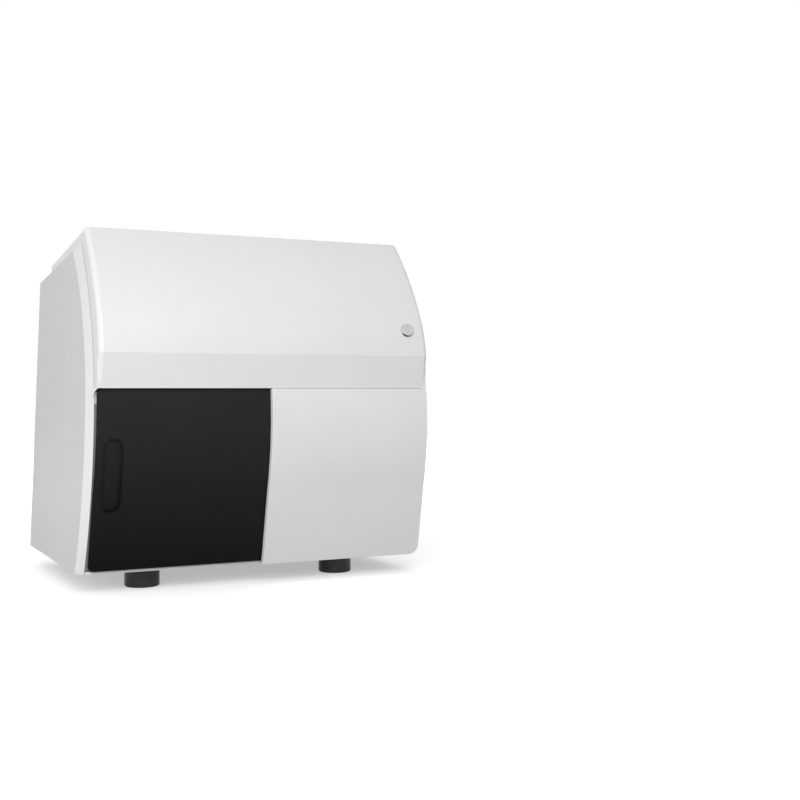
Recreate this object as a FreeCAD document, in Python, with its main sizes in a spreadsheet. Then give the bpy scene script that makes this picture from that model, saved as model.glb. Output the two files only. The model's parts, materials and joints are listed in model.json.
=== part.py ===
import FreeCAD, Part
import math
import os
import re

import Sketcher

# Digital slide scanner: a benchtop cabinet with a curved hood, a sliding door on the left of the
# front, and inside it a tray magazine on a lift, a moving stage and a focusing optical head.
# Millimetres. +X to the right seen from the front, -Y to the front, +Z up, origin on the bench
# below the middle of the cabinet.

DRIVING_SIZES = [
    # cabinet outline
    ("foot_height", 30), ("cover_reach", 11.3), ("side_lean", 2), ("front_half", 268.7), ("front_lean", 1),
    ("rear_out", 219.5), ("rear_top_out", 213.8), ("seam", 0.4), ("flange_proud", 0.5),
    # hood profile, front to back
    ("brow_setback", 1), ("brow_up", 306.5), ("brow_lip", 4.7), ("crest_out", 220), ("crest_up", 353),
    ("shoulder_out", 197.7), ("shoulder_up", 426), ("crown_out", 112), ("crown_up", 543.6),
    ("lower_bend", 195), ("upper_bend", 476), ("hood_back", 133), ("hood_back_up", 509.5),
    ("hood_skin", 4), ("hood_round", 8), ("flank_width", 40),
    # rear deck behind the hood
    ("deck_front_up", 491.4), ("deck_back_up", 482.6), ("rear_sheet", 3),
    # side covers: outer rim, inner rim and wall, and the strip beside the door
    ("rim_hem_out", 141), ("rim_mid_out", 171.4), ("rim_mid_up", 284.4), ("rim_top_out", 47),
    ("rim_top_up", 512.1), ("rim_low_bend", 526), ("rim_high_bend", 349),
    ("lip_hem_out", 152), ("lip_mid_out", 196.3), ("lip_mid_up", 296.4), ("lip_top_out", 96),
    ("lip_top_up", 517.6), ("lip_low_bend", 540), ("lip_high_bend", 415),
    ("cover_wall", 3), ("rim_inside", 32), ("strip_width", 7), ("strip_ledge", 1.6), ("strip_bend", 684),
    ("strip_depth", 3), ("strip_hem_in", 7), ("strip_top_in", 2.7), ("catch_width", 1.4),
    ("catch_length", 26), ("catch_back", 7),
    # bowed front: fixed panel on the right, door behind it on the left
    ("hem_out", 172), ("knee_out", 198.1), ("knee_up", 144.5), ("bow_bend", 402), ("bow_top_out", 212),
    ("panel_top_gap", 0.8), ("panel_skin", 4), ("panel_lip", 3), ("panel_corner", 15),
    ("flange_back", 128), ("flange_low", 60), ("flange_wall", 3.8),
    ("door_setback", 9), ("door_skin", 4), ("door_low", 35), ("door_right", 12), ("door_left_gap", 2.2),
    ("door_corner", 9), ("door_running_gap", 0.5),
    ("pull_in", 30.2), ("pull_up", 175.5), ("pull_round", 15), ("pull_height", 109.5), ("pull_depth", 7.5),
    ("pull_wall", 1.5), ("pull_rim_drop", 0.6),
    # base, sill and feet
    ("base_front", 152), ("base_thick", 6), ("sill_reach", 6), ("sill_height", 4.4),
    ("foot_round", 26.5), ("foot_left_in", 98.7), ("foot_right_in", 116.7), ("foot_front_in", 51),
    ("foot_back_in", 69.5), ("foot_recess", 9), ("foot_recess_round", 8), ("foot_bevel", 1.5),
    ("screw_round", 2.5), ("screw_head_round", 5), ("screw_head", 4), ("screw_slack", 0.25),
    # inner frame, door rails and shoes
    ("frame_in", 13.7), ("frame_wall", 5), ("frame_setback", 6), ("frame_nose_in", 24),
    ("frame_nose_drop", 3), ("frame_top_in", 22), ("frame_top_drop", 39), ("frame_rear_gap", 8),
    ("frame_rear_drop", 12.6),
    ("beam_lead", 1), ("beam_depth", 32), ("beam_thick", 8),
    ("rail_end", 1), ("rail_gap", 3), ("rail_wall", 2), ("rail_width", 12), ("rail_height", 12),
    ("rail_drop", 1.8), ("shoe_length", 18), ("shoe_edge", 22), ("shoe_arm", 6),
    ("shoe_clear", 2), ("rear_post_width", 15), ("rear_post_depth", 15),
    # tray bay
    ("bay_side_gap", 2), ("bay_right", 28), ("bay_front_gap", 1.4), ("bay_behind", 27), ("bay_top", 285),
    ("bay_sheet", 2), ("window_in", 6), ("window_run", 92), ("window_height", 20),
    # trays, slides and their magazine
    ("tray_width", 150), ("tray_depth", 84), ("tray_thick", 4), ("tray_count", 7), ("tray_pitch", 16),
    ("stage_slot", 3), ("tray_rim", 5), ("slide_width", 26), ("slide_length", 76), ("slide_thick", 1),
    ("slide_pitch", 28), ("slide_count", 5), ("magazine_in", 31), ("magazine_setback", 8),
    ("magazine_wall", 2), ("magazine_shelf", 1.5), ("magazine_low", 102), ("tray_slack", 1),
    # lift
    ("lift_rod_round", 5), ("lift_rod_half", 46), ("lift_in", 16), ("lift_nut_width", 122),
    ("lift_nut_depth", 26), ("lift_nut_height", 40), ("lift_screw_round", 4), ("shaft_slack", 0.06),
    ("end_gap", 0.4), ("motor_side", 42), ("motor_length", 40),
    # stage
    ("stage_middle", 112), ("stage_front", 40), ("stage_base_half", 110), ("stage_base_deep", 95),
    ("stage_base_up", 104), ("light_well", 36), ("guide_width", 10), ("guide_height", 8),
    ("slider_gap", 0.3), ("carriage_thick", 10), ("lower_half", 105), ("lower_deep", 62),
    ("lower_hole_half", 30), ("upper_half", 85), ("upper_deep", 57), ("upper_hole_half", 52),
    ("hole_deep", 47), ("lower_guide_in", 80), ("upper_guide_in", 49), ("bar_in", 58), ("bar_out", 75),
    ("lower_guide_half", 85),
    # light and optics
    ("lamp_half", 28), ("lamp_up", 80), ("condenser_round", 14), ("condenser_gap", 2.5),
    ("column_half", 27), ("column_front", 85), ("column_back", 135), ("column_up", 330),
    ("focus_rail_half", 12), ("focus_rail_thick", 6), ("focus_rail_low", 190), ("focus_rail_up", 312),
    ("head_half", 22), ("head_plate", 12), ("head_low", 200), ("head_up", 292), ("arm_half", 16),
    ("arm_front", 62), ("arm_height", 24), ("objective_round", 12), ("objective_tip", 4),
    ("work_distance", 2.5), ("tube_round", 15), ("tube_height", 56), ("camera_half", 22),
    ("camera_height", 45),
    # power button in the hood
    ("button_in", 39.5), ("button_up", 394), ("button_round", 10.3), ("button_proud", 4.5),
    ("button_length", 13), ("button_slack", 0.3), ("switch_round", 16), ("switch_depth", 22),
    ("switch_floor", 4), ("switch_setback", 4.9), ("stem_round", 4), ("button_travel", 2),
    # rear fittings
    ("inlet_in", 59), ("rocker_in", 105), ("mains_up", 110), ("inlet_half", 24), ("inlet_tall", 12),
    ("inlet_depth", 26), ("inlet_reach", 17), ("pin_round", 1.6), ("pin_spread", 7), ("pin_length", 13),
    ("port_depth", 13), ("plate_half", 30), ("plate_tall", 14), ("plate_left", 60), ("port_width", 13),
    ("port_height", 7), ("port_box_in", 3.5), ("port_spread", 17), ("flange_thick", 1.3),
    ("rocker_frame_half", 15), ("rocker_frame_tall", 12), ("rocker_frame_depth", 18), ("rocker_half", 7.5),
    ("rocker_tall", 8.5), ("rocker_window", 9.9), ("rocker_pivot_in", 7), ("rocker_face", 5.5),
    ("rocker_tilt", 8), ("fan_in", 75), ("fan_up", 390), ("fan_half", 40), ("fan_depth", 25),
    ("fan_bore", 37), ("fan_hub", 17), ("fan_tip_gap", 1.5), ("fan_blades", 7), ("blade_thick", 2),
    ("blade_twist", 35), ("blade_reach", 15), ("vent_width", 60), ("vent_height", 4), ("vent_pitch", 9),
    ("vent_count", 8), ("vent_right", 120), ("vent_low", 90), ("cover_screw_in", 12.5),
    ("cover_screw_low", 90), ("cover_screw_pitch", 165), ("cover_screw_count", 3),
    ("cover_screw_round", 1.5), ("cover_head_round", 4), ("cover_screw_length", 12), ("cover_head", 1),
    ("fitting_lip", 1.5), ("fitting_wall", 2),
    # electronics
    ("supply_in", 19), ("supply_width", 100), ("supply_back_in", 24.5), ("supply_depth", 150),
    ("supply_height", 50), ("board_gap", 14), ("board_width", 105), ("board_back_in", 22.5),
    ("board_depth", 125), ("board_up", 52), ("board_thick", 1.6), ("post_round", 3), ("post_in", 6),
]

# Places that follow from the sizes above.
FOLLOWING_SIZES = [
    ("side_half", "front_half + cover_reach"),
    ("frame_half", "front_half - frame_in"),
    ("rear_limit", "rear_out + flange_proud"),
    ("brow_out", "bow_top_out - brow_setback"),
    ("strip_hem_out", "hem_out - door_setback - door_skin - strip_hem_in"),
    ("strip_top_out", "bow_top_out - door_setback - door_skin - strip_top_in"),
    ("sill_out", "base_front + sill_reach"),
    ("foot_left", "front_half - foot_left_in"),
    ("foot_right", "front_half - foot_right_in"),
    ("foot_front", "base_front - foot_front_in"),
    ("foot_back", "rear_out - foot_back_in"),
    ("pull_left", "front_half - pull_in"),
    ("button_right", "front_half - button_in"),
    ("rail_half", "frame_half - frame_wall - rail_end"),
    ("rail_top_front", "bow_top_out - door_setback - door_skin - rail_gap"),
    ("rail_low_front", "hem_out + (knee_out - hem_out) * base_thick / (knee_up - foot_height)"
                       " - door_setback - door_skin - rail_gap"),
    ("beam_front", "rail_top_front + beam_lead"),
    ("bay_left", "frame_half - frame_wall - bay_side_gap"),
    ("bay_front", "rail_low_front - rail_width + rail_wall - bay_front_gap"),
    ("window_front", "bay_front - window_in"),
    ("magazine_left", "bay_left - magazine_in"),
    ("magazine_front", "bay_front - magazine_setback"),
    ("lift_back", "magazine_front - tray_depth - tray_slack - 2 * magazine_wall - lift_in"),
    ("bay_back", "lift_back - bay_behind"),
    ("frame_front", "bay_front - frame_setback"),
    ("frame_nose_out", "crest_out - frame_nose_in"),
    ("frame_nose_up", "crest_up - frame_nose_drop"),
    ("frame_top_out", "crown_out - frame_top_in"),
    ("frame_top_up", "crown_up - frame_top_drop"),
    ("frame_rear_up", "deck_back_up - frame_rear_drop"),
    ("inlet_left", "frame_half - inlet_in"),
    ("rocker_left", "frame_half - rocker_in"),
    ("fan_right", "frame_half - fan_in"),
    ("supply_left", "frame_half - supply_in"),
    ("supply_front", "rear_out - supply_back_in - supply_depth"),
    ("board_left", "supply_left - supply_width - board_gap"),
    ("board_front", "rear_out - board_back_in - board_depth"),
]

document = FreeCAD.newDocument("slide_scanner")
sheet = document.addObject("Spreadsheet::Sheet", "dims")
rows = [(size_name, str(size_value)) for size_name, size_value in DRIVING_SIZES]
rows += [(size_name, "=" + formula) for size_name, formula in FOLLOWING_SIZES]
for row, (size_name, content) in enumerate(rows, start=1):
    sheet.set("A%d" % row, size_name)
    sheet.set("B%d" % row, content)
    sheet.setAlias("B%d" % row, size_name)
document.recompute()

SIZE_NAMES = {size_name for size_name, content in rows}
PIECES = []
BEYOND = "40"
PAST = "1"
UPRIGHT = FreeCAD.Rotation()
ALONG = {
    "x": FreeCAD.Rotation(FreeCAD.Vector(0, 1, 0), 90),
    "y": FreeCAD.Rotation(FreeCAD.Vector(1, 0, 0), -90),
    "z": UPRIGHT,
}


# ---------------------------------------------------------------- helpers

def bound(text):
    """The expression with each size's name pointed at its cell."""
    return re.sub("[a-z_]+", lambda word: cell_of(word.group()), str(text))


def cell_of(word):
    return "dims." + word if word in SIZE_NAMES else word


def worth(text):
    return float(sheet.evalExpression(bound(text)))


def bind(thing, name, text):
    thing.setExpression(name, bound(text))


def place(thing, spot, turn=UPRIGHT):
    thing.Placement = FreeCAD.Placement(FreeCAD.Vector(*[worth(text) for text in spot]), turn)
    for axis, text in zip("xyz", spot):
        bind(thing, "Placement.Base." + axis, text)
    return thing


def block(name, low, high):
    """A box between its low and high corners."""
    box = document.addObject("Part::Box", name)
    for side, low_text, high_text in zip(("Length", "Width", "Height"), low, high):
        bind(box, side, "(%s) - (%s)" % (high_text, low_text))
    return place(box, low)


def rod(name, round_text, start, length, axis="z"):
    """A cylinder from the start point along an axis."""
    cylinder = document.addObject("Part::Cylinder", name)
    bind(cylinder, "Radius", round_text)
    bind(cylinder, "Height", length)
    return place(cylinder, start, ALONG[axis])


def join(name, parts):
    fusion = document.addObject("Part::MultiFuse", name)
    fusion.Shapes = parts
    fusion.Refine = True
    return fusion


def group(name, parts):
    """Separate solids that share one node."""
    compound = document.addObject("Part::Compound", name)
    compound.Links = parts
    return compound


def cut(name, base, tools):
    """The base with the tools taken away."""
    taken = document.addObject("Part::Cut", name)
    taken.Base = base
    taken.Tool = tools[0] if len(tools) == 1 else group(name + "_tools", tools)
    return taken


def piece(thing, label):
    thing.Label = label
    PIECES.append(thing)
    return thing


def new_body(name):
    return document.addObject("PartDesign::Body", name)


def origin_plane(body, role):
    for feature in body.Origin.OriginFeatures:
        if feature.Role == role:
            return feature
    raise ValueError(role)


def arc_between(start, finish, radius, turn):
    """The minor arc from start to finish; turn is 1 for anticlockwise and -1 for clockwise."""
    chord = finish - start
    half = chord.Length / 2
    normal = FreeCAD.Vector(-chord.y, chord.x, 0) / chord.Length
    centre = (start + finish) / 2 + normal * (turn * math.sqrt(radius ** 2 - half ** 2))
    angles = [math.atan2(point.y - centre.y, point.x - centre.x) for point in (start, finish)]
    circle = Part.Circle(centre, FreeCAD.Vector(0, 0, 1), radius)
    return Part.ArcOfCircle(circle, *(angles if turn > 0 else reversed(angles)))


def sketch(body, name, plane, outline):
    """A closed outline on a plane: corners, and the bends of the runs that leave some corners."""
    role, offset, lean = plane
    corners, bends = outline
    drawing = body.newObject("Sketcher::SketchObject", name)
    drawing.AttachmentSupport = (origin_plane(body, role), [""])
    drawing.MapMode = "FlatFace"
    shift = FreeCAD.Vector(0, 0, worth(offset))
    drawing.AttachmentOffset = FreeCAD.Placement(shift,
                                                 FreeCAD.Rotation(FreeCAD.Vector(1, 0, 0), worth(lean)))
    bind(drawing, "AttachmentOffset.Base.z", offset)
    if lean != "0":
        bind(drawing, "AttachmentOffset.Rotation.Angle", lean)
    points = [FreeCAD.Vector(worth(across), worth(up), 0) for across, up in corners]
    runs = []
    for index, start in enumerate(points):
        finish = points[(index + 1) % len(points)]
        if index in bends:
            size, turn = bends[index]
            edge = drawing.addGeometry(arc_between(start, finish, worth(size), turn), False)
            runs.append((edge, 1, 2) if turn > 0 else (edge, 2, 1))
            radius = drawing.addConstraint(Sketcher.Constraint("Radius", edge, worth(size)))
            bind(drawing, "Constraints[%d]" % radius, size)
        else:
            runs.append((drawing.addGeometry(Part.LineSegment(start, finish), False), 1, 2))
    for index, (edge, first, last) in enumerate(runs):
        after, after_first, after_last = runs[(index + 1) % len(runs)]
        drawing.addConstraint(Sketcher.Constraint("Coincident", edge, last, after, after_first))
        for kind, value, text in (("DistanceX", points[index].x, corners[index][0]),
                                  ("DistanceY", points[index].y, corners[index][1])):
            place_at = drawing.addConstraint(Sketcher.Constraint(kind, -1, 1, edge, first, value))
            bind(drawing, "Constraints[%d]" % place_at, text)
    return drawing


def winds_left(corners):
    """Whether an outline runs anticlockwise on its plane."""
    points = [(worth(across_text), worth(up_text)) for across_text, up_text in corners]
    following = points[1:] + points[:1]
    return sum(x * next_y - next_x * y for (x, y), (next_x, next_y) in zip(points, following)) > 0


def span(body, name, kind, near, near_outline, far, far_outline):
    """A straight-sided solid added to, or taken from, a body between two outlines."""
    if (worth(near[1]) < worth(far[1])) != winds_left(near_outline[0]):
        near, near_outline, far, far_outline = far, far_outline, near, near_outline
    loft = body.newObject("PartDesign::" + kind, name)
    loft.Profile = sketch(body, name + "_near", near, near_outline)
    loft.Sections = [sketch(body, name + "_far", far, far_outline)]
    loft.Ruled = True
    body.Tip = loft
    document.recompute()
    return loft


def add(body, name, near, far, outline, far_outline=None):
    return span(body, name, "AdditiveLoft", near, outline, far, far_outline or outline)


def take(body, name, near, far, outline, far_outline=None):
    return span(body, name, "SubtractiveLoft", near, outline, far, far_outline or outline)


def pad(body, name, plane, length, outline):
    """A prism from a plane, along the plane's normal."""
    feature = body.newObject("PartDesign::Pad", name)
    feature.Profile = sketch(body, name + "_outline", plane, outline)
    bind(feature, "Length", length)
    body.Tip = feature
    document.recompute()
    return feature


def soften(body, name, radius, wanted):
    """A fillet on the wanted edges of the body's tip."""
    base = body.Tip
    names = ["Edge%d" % number for number, edge in enumerate(base.Shape.Edges, start=1) if wanted(edge)]
    fillet = body.newObject("PartDesign::Fillet", name)
    fillet.Base = (base, names)
    bind(fillet, "Radius", radius)
    body.Tip = fillet
    document.recompute()
    return fillet


# ---------------------------------------------------------------- shared planes and outlines

def across(offset):
    """The upright plane across the cabinet's width at an X."""
    return ("YZ_Plane", offset, "0")


def facing(offset):
    """The upright plane facing the front at a Y."""
    return ("XZ_Plane", "-(%s)" % offset, "0")


def flank(side, inset="0"):
    """The plane of the hood's flanks and the front's ends, leaning in as it rises."""
    return ("YZ_Plane", "%d * (front_half + foot_height * tan(front_lean) - (%s))" % (side, inset),
            "%d * front_lean" % -side)


def outer_side(side, inset="0"):
    """The plane of a side cover's outside, leaning in as it rises."""
    return ("YZ_Plane", "%d * (side_half + foot_height * tan(side_lean) - (%s))" % (side, inset),
            "%d * side_lean" % -side)


HEM_UP = "foot_height"
RAIL_TOP_UP = "(brow_up - brow_lip - rail_drop)"
RAIL_LOW_UP = "(foot_height + base_thick)"
BOW_TOP_UP = "(brow_up - brow_lip - panel_top_gap)"


def bow_out(height):
    """How far out the straight lower part of the bowed front is at a height."""
    return "(hem_out + (knee_out - hem_out) * ((%s) - foot_height) / (knee_up - foot_height))" % height


def bowed(setback, depth, low, top):
    """The section of a bowed sheet: the front's curve set back, with a depth behind it."""
    front = "(%s)" % setback
    back = "(%s + %s)" % (setback, depth)
    corners = [
        ("%s - %s" % (front, bow_out(low)), low), ("%s - knee_out" % front, "knee_up"),
        ("%s - bow_top_out" % front, top), ("%s - bow_top_out" % back, top),
        ("%s - knee_out" % back, "knee_up"), ("%s - %s" % (back, bow_out(low)), low),
    ]
    return corners, {1: ("bow_bend", -1), 3: ("bow_bend", 1)}


def hood_arc():
    """Centre and radius of the hood's lower curve, as expressions."""
    rise = "(shoulder_up - crest_up)"
    run = "(crest_out - shoulder_out)"
    chord = "sqrt(%s^2 + %s^2)" % (rise, run)
    reach = "sqrt(lower_bend^2 - (%s / 2)^2)" % chord
    centre_y = "((%s) * %s / %s - (crest_out + shoulder_out) / 2)" % (reach, rise, chord)
    centre_z = "((crest_up + shoulder_up) / 2 - (%s) * %s / %s)" % (reach, run, chord)
    return centre_y, centre_z


def rectangle(low, high):
    """The outline of a rectangle between two corners."""
    return [low, (low[0], high[1]), high, (high[0], low[1])], {}


def pill(centre_x, centre_z, radius, height):
    """An upright slot outline with round ends."""
    straight = "(%s / 2 - %s)" % (height, radius)
    low = "(%s) - %s" % (centre_z, straight)
    high = "(%s) + %s" % (centre_z, straight)
    left = "(%s) - (%s)" % (centre_x, radius)
    right = "(%s) + (%s)" % (centre_x, radius)
    top = "(%s) + (%s)" % (high, radius)
    bottom = "(%s) - (%s)" % (low, radius)
    corners = [(left, low), (left, high), (centre_x, top), (right, high), (right, low), (centre_x, bottom)]
    return corners, {1: (radius, -1), 2: (radius, -1), 4: (radius, -1), 5: (radius, -1)}


def corner_waste(corner_x, corner_z, radius, side, rise):
    """What is trimmed away outside a rounded corner; side and rise point out of the sheet."""
    inner_x = "(%s) - (%d) * (%s)" % (corner_x, side, radius)
    inner_z = "(%s) - (%d) * (%s)" % (corner_z, rise, radius)
    outer_x = "(%s) + (%d) * %s" % (corner_x, side, BEYOND)
    outer_z = "(%s) + (%d) * %s" % (corner_z, rise, BEYOND)
    corners = [(inner_x, corner_z), (corner_x, inner_z), (outer_x, inner_z), (outer_x, outer_z),
               (inner_x, outer_z)]
    return corners, {0: (radius, -1 if side * rise > 0 else 1)}


# ---------------------------------------------------------------- casing

def hood():
    body = new_body("hood_body")
    flank_low = "brow_up - brow_lip"
    outer = [
        ("-brow_out", flank_low), ("-brow_out", "brow_up"), ("-crest_out", "crest_up"),
        ("-shoulder_out", "shoulder_up"), ("-crown_out", "crown_up"), ("hood_back", "hood_back_up"),
        ("hood_back", "deck_front_up + seam"), ("flank_width - crown_out", "crown_up - 1.5 * flank_width"),
        ("flank_width - shoulder_out", "shoulder_up - flank_width / 4"),
        ("flank_width - brow_out", flank_low),
    ]
    bends = {2: ("lower_bend", -1), 3: ("upper_bend", -1)}
    add(body, "hood_outside", flank(-1), flank(1), (outer, bends))
    run = [(worth(across_text), worth(up_text)) for across_text, up_text in outer[1:6]]

    def on_rim(edge):
        """The rims of the flanks from the brow to the back, and the crown's edge."""
        ends = [spot_index(run, vertex.Point) for vertex in edge.Vertexes]
        along_rim = None not in ends and abs(ends[0] - ends[1]) == 1
        return along_rim or ends == [3, 3]

    soften(body, "hood_edges", "hood_round", on_rim)
    inner = [
        ("hood_skin - brow_out", "brow_up - " + BEYOND), ("hood_skin - brow_out", "brow_up"),
        ("hood_skin - crest_out", "crest_up"), ("hood_skin - shoulder_out", "shoulder_up"),
        ("hood_skin - crown_out", "crown_up - hood_skin"),
        ("hood_back - hood_skin", "hood_back_up - hood_skin"),
        ("hood_back - hood_skin", "brow_up - " + BEYOND),
    ]
    take(body, "hood_inside", flank(-1, "hood_skin"), flank(1, "hood_skin"), (inner, bends))
    opening = button_rod("button_opening", "button_round + button_slack", "-3 * hood_skin", "3 * hood_skin")
    piece(cut("hood", body, [opening]), "top_hood")


def spot_index(spots, point):
    """Which of the Y and Z spots a point lies on."""
    for index, (spot_y, spot_z) in enumerate(spots):
        if abs(point.y - spot_y) + abs(point.z - spot_z) < worth("seam"):
            return index
    return None


def side_cover(side, label):
    body = new_body(label + "_body")
    rim = [
        ("-rim_hem_out", HEM_UP), ("-rim_mid_out", "rim_mid_up"), ("-rim_top_out", "rim_top_up"),
        ("rear_top_out", "deck_back_up + seam"), ("rear_out", HEM_UP),
    ]
    lip = [
        ("-lip_hem_out", HEM_UP), ("-lip_mid_out", "lip_mid_up"), ("-lip_top_out", "lip_top_up"),
        ("rear_top_out", "deck_back_up + seam"), ("rear_out", HEM_UP),
    ]
    rim_bends = {0: ("rim_low_bend", -1), 1: ("rim_high_bend", -1)}
    lip_bends = {0: ("lip_low_bend", -1), 1: ("lip_high_bend", -1)}
    inner = flank(side, "-seam")
    add(body, label + "_shell", outer_side(side), inner, (rim, rim_bends), (lip, lip_bends))
    pocket = [
        ("rim_inside - rim_hem_out", "foot_height + 2 * base_thick"),
        ("rim_inside - rim_mid_out", "rim_mid_up"),
        ("rim_inside - rim_mid_out + rim_inside", "shoulder_up - rim_inside"),
        ("rear_top_out - rim_inside / 2", "shoulder_up - rim_inside"),
        ("rear_top_out - rim_inside / 2", "foot_height + 2 * base_thick"),
    ]
    take(body, label + "_pocket", outer_side(side, "cover_wall"), flank(side, "cover_wall"), (pocket, {}))
    catch = rectangle(("-catch_back - catch_width", "rim_top_up - catch_length"),
                      ("-catch_back", "rim_top_up + catch_length"))
    take(body, label + "_catch", outer_side(side, "-cover_wall"), outer_side(side, "cover_wall / 2"), catch)
    if label == "side_cover_left":
        strip_ledge(body)
    piece(body, label)


def behind_door(front, back):
    """The section of a bar behind the door's left edge, from the hem to the cover's widest point."""
    corners = [
        ("%s - strip_hem_out" % front, HEM_UP), ("%s - strip_top_out" % front, "lip_mid_up"),
        ("%s - strip_top_out" % back, "lip_mid_up"), ("%s - strip_hem_out" % back, HEM_UP),
    ]
    return corners, {0: ("strip_bend", -1), 2: ("strip_bend", 1)}


def above_base(body, name):
    """Trims what lies inside the cover below the top of the base plate."""
    waste = rectangle(("-crest_out", "0"), ("-rim_mid_out / 2", RAIL_LOW_UP + " + seam"))
    take(body, name, flank(-1, "-seam"), flank(-1, "rim_inside"), waste)


def strip_ledge(body):
    """The cover's ledge that carries the grey strip."""
    add(body, "ledge_bar", flank(-1, "-seam"), flank(-1, "strip_width"),
        behind_door("strip_depth", "(strip_depth + strip_ledge)"))
    above_base(body, "ledge_foot")


def edge_strip():
    """The grey strip on the cover's ledge, behind the door's edge."""
    body = new_body("edge_strip_body")
    add(body, "edge_strip_bar", flank(-1, "-seam * 3 / 4"), flank(-1, "strip_width"),
        behind_door("slider_gap", "(strip_depth - seam / 4)"))
    above_base(body, "edge_strip_foot")
    piece(body, "door_edge_strip")


def rear_cover():
    body = new_body("rear_cover_body")
    outline = [
        ("rear_out", HEM_UP), ("rear_top_out", "deck_back_up"), ("hood_back + seam", "deck_front_up"),
        ("hood_back + seam", "deck_front_up - rear_sheet"),
        ("rear_top_out - rear_sheet", "deck_back_up - rear_sheet"), ("rear_out - rear_sheet", HEM_UP),
    ]
    pad(body, "rear_cover_sheet", across("-side_half"), "2 * side_half", (outline, {}))
    waste = rectangle(("hood_back - " + BEYOND, HEM_UP + " - " + BEYOND),
                      ("rear_out + " + BEYOND, "deck_front_up + " + BEYOND))
    for side, end in ((-1, "left"), (1, "right")):
        take(body, "rear_cover_%s_end" % end, flank(side), across("%d * (side_half + %s)" % (side, BEYOND)),
             waste)
    front = "rear_top_out - 2 * rear_sheet"
    back = "rear_out + rear_sheet"
    tools = []
    for number in range(int(worth("vent_count"))):
        low = "vent_low + %d * vent_pitch" % number
        tools.append(block("vent_%d" % number, ("vent_right - vent_width / 2", front, low),
                           ("vent_right + vent_width / 2", back, low + " + vent_height")))
        fan_low = "fan_up + (%d - (vent_count - 1) / 2) * vent_pitch - vent_height / 2" % number
        tools.append(block("fan_slot_%d" % number, ("fan_right - vent_width / 2", front, fan_low),
                           ("fan_right + vent_width / 2", back, fan_low + " + vent_height")))
    for name, left, half, tall in (("inlet", "inlet_left", "inlet_half", "inlet_tall"),
                                   ("rocker", "rocker_left", "rocker_frame_half", "rocker_frame_tall"),
                                   ("ports", "plate_left", "plate_half", "plate_tall")):
        tools.append(block(name + "_opening",
                           ("fitting_lip - %s - %s" % (left, half), front,
                            "mains_up - %s + fitting_lip" % tall),
                           ("%s - %s - fitting_lip" % (half, left), back,
                            "mains_up + %s - fitting_lip" % tall)))
    tools += cover_screw_rods("cover_hole", "cover_screw_round + screw_slack", "-cover_screw_length", PAST)
    piece(cut("rear_cover", body, tools), "rear_cover")


def rear_face(height, inset):
    """The Y of the rear sheet at a height: its outside, or its inside with the sheet as inset."""
    slope = "(rear_out - rear_top_out) / (deck_back_up - (%s) - foot_height)" % inset
    return "(rear_out - (%s) - ((%s) - foot_height) * %s)" % (inset, height, slope)


def cover_screw_rods(name, radius, start, finish):
    """A cylinder at each screw of the rear cover, between two distances out from the sheet."""
    rods = []
    for side in (-1, 1):
        for number in range(int(worth("cover_screw_count"))):
            height = "(cover_screw_low + %d * cover_screw_pitch)" % number
            face = rear_face(height, "0")
            spot = ("%d * (frame_half - cover_screw_in)" % side, "%s + (%s)" % (face, start), height)
            rods.append(rod("%s_%d" % (name, len(rods)), radius, spot, "(%s) - (%s)" % (finish, start), "y"))
    return rods


def rear_posts():
    """Uprights inside the rear corners that take the rear cover's screws."""
    front = rear_face("frame_rear_up", "rear_sheet") + " - rear_post_depth"
    profile = [
        (front, RAIL_LOW_UP), (front, "frame_rear_up"),
        (rear_face("frame_rear_up", "rear_sheet"), "frame_rear_up"),
        (rear_face(RAIL_LOW_UP, "rear_sheet"), RAIL_LOW_UP),
    ]
    holes = cover_screw_rods("post_hole", "cover_screw_round + screw_slack",
                             "-cover_screw_length - " + PAST, PAST)
    halves = [holes[:len(holes) // 2], holes[len(holes) // 2:]]
    posts = []
    for side, side_holes in zip((-1, 1), halves):
        body = new_body("rear_post_body_%d" % len(posts))
        outer = "%d * (frame_half - frame_wall)" % side
        inner = "%d * (frame_half - frame_wall - rear_post_width)" % side
        add(body, body.Name + "_bar", across(outer), across(inner), (profile, {}))
        posts.append(cut("rear_post_%d" % len(posts), body, side_holes))
    piece(group("rear_post_pair", posts), "rear_posts")
    shanks = cover_screw_rods("cover_shank", "cover_screw_round", "-cover_screw_length", "cover_head")
    heads = cover_screw_rods("cover_head_disc", "cover_head_round", "seam / 4", "cover_head")
    screws = [join("cover_screw_%d" % number, [shank, head])
              for number, (shank, head) in enumerate(zip(shanks, heads))]
    piece(group("cover_screw_set", screws), "rear_cover_screws")


def front_panel():
    body = new_body("front_panel_body")
    add(body, "panel_sheet", across("0"), flank(1), bowed("0", "panel_skin", HEM_UP, BOW_TOP_UP))
    add(body, "panel_edge", across("0"), across("panel_lip"),
        bowed("0", "door_setback - door_running_gap", HEM_UP, BOW_TOP_UP))
    flange = [
        ("panel_skin / 2 - %s" % bow_out("flange_low"), "flange_low"),
        ("panel_skin / 2 - knee_out", "knee_up"),
        ("panel_skin / 2 - bow_top_out", BOW_TOP_UP), ("-flange_back", BOW_TOP_UP + " - panel_corner"),
        ("-flange_back", "flange_low"),
    ]
    add(body, "panel_flange", across("frame_half + seam / 2"), across("frame_half + seam / 2 + flange_wall"),
        (flange, {1: ("bow_bend", -1)}))
    waste = corner_waste("front_half", HEM_UP, "panel_corner", 1, -1)
    take(body, "panel_round", facing("-crest_out - " + BEYOND), facing("-base_front"), waste)
    piece(body, "front_panel")


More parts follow.
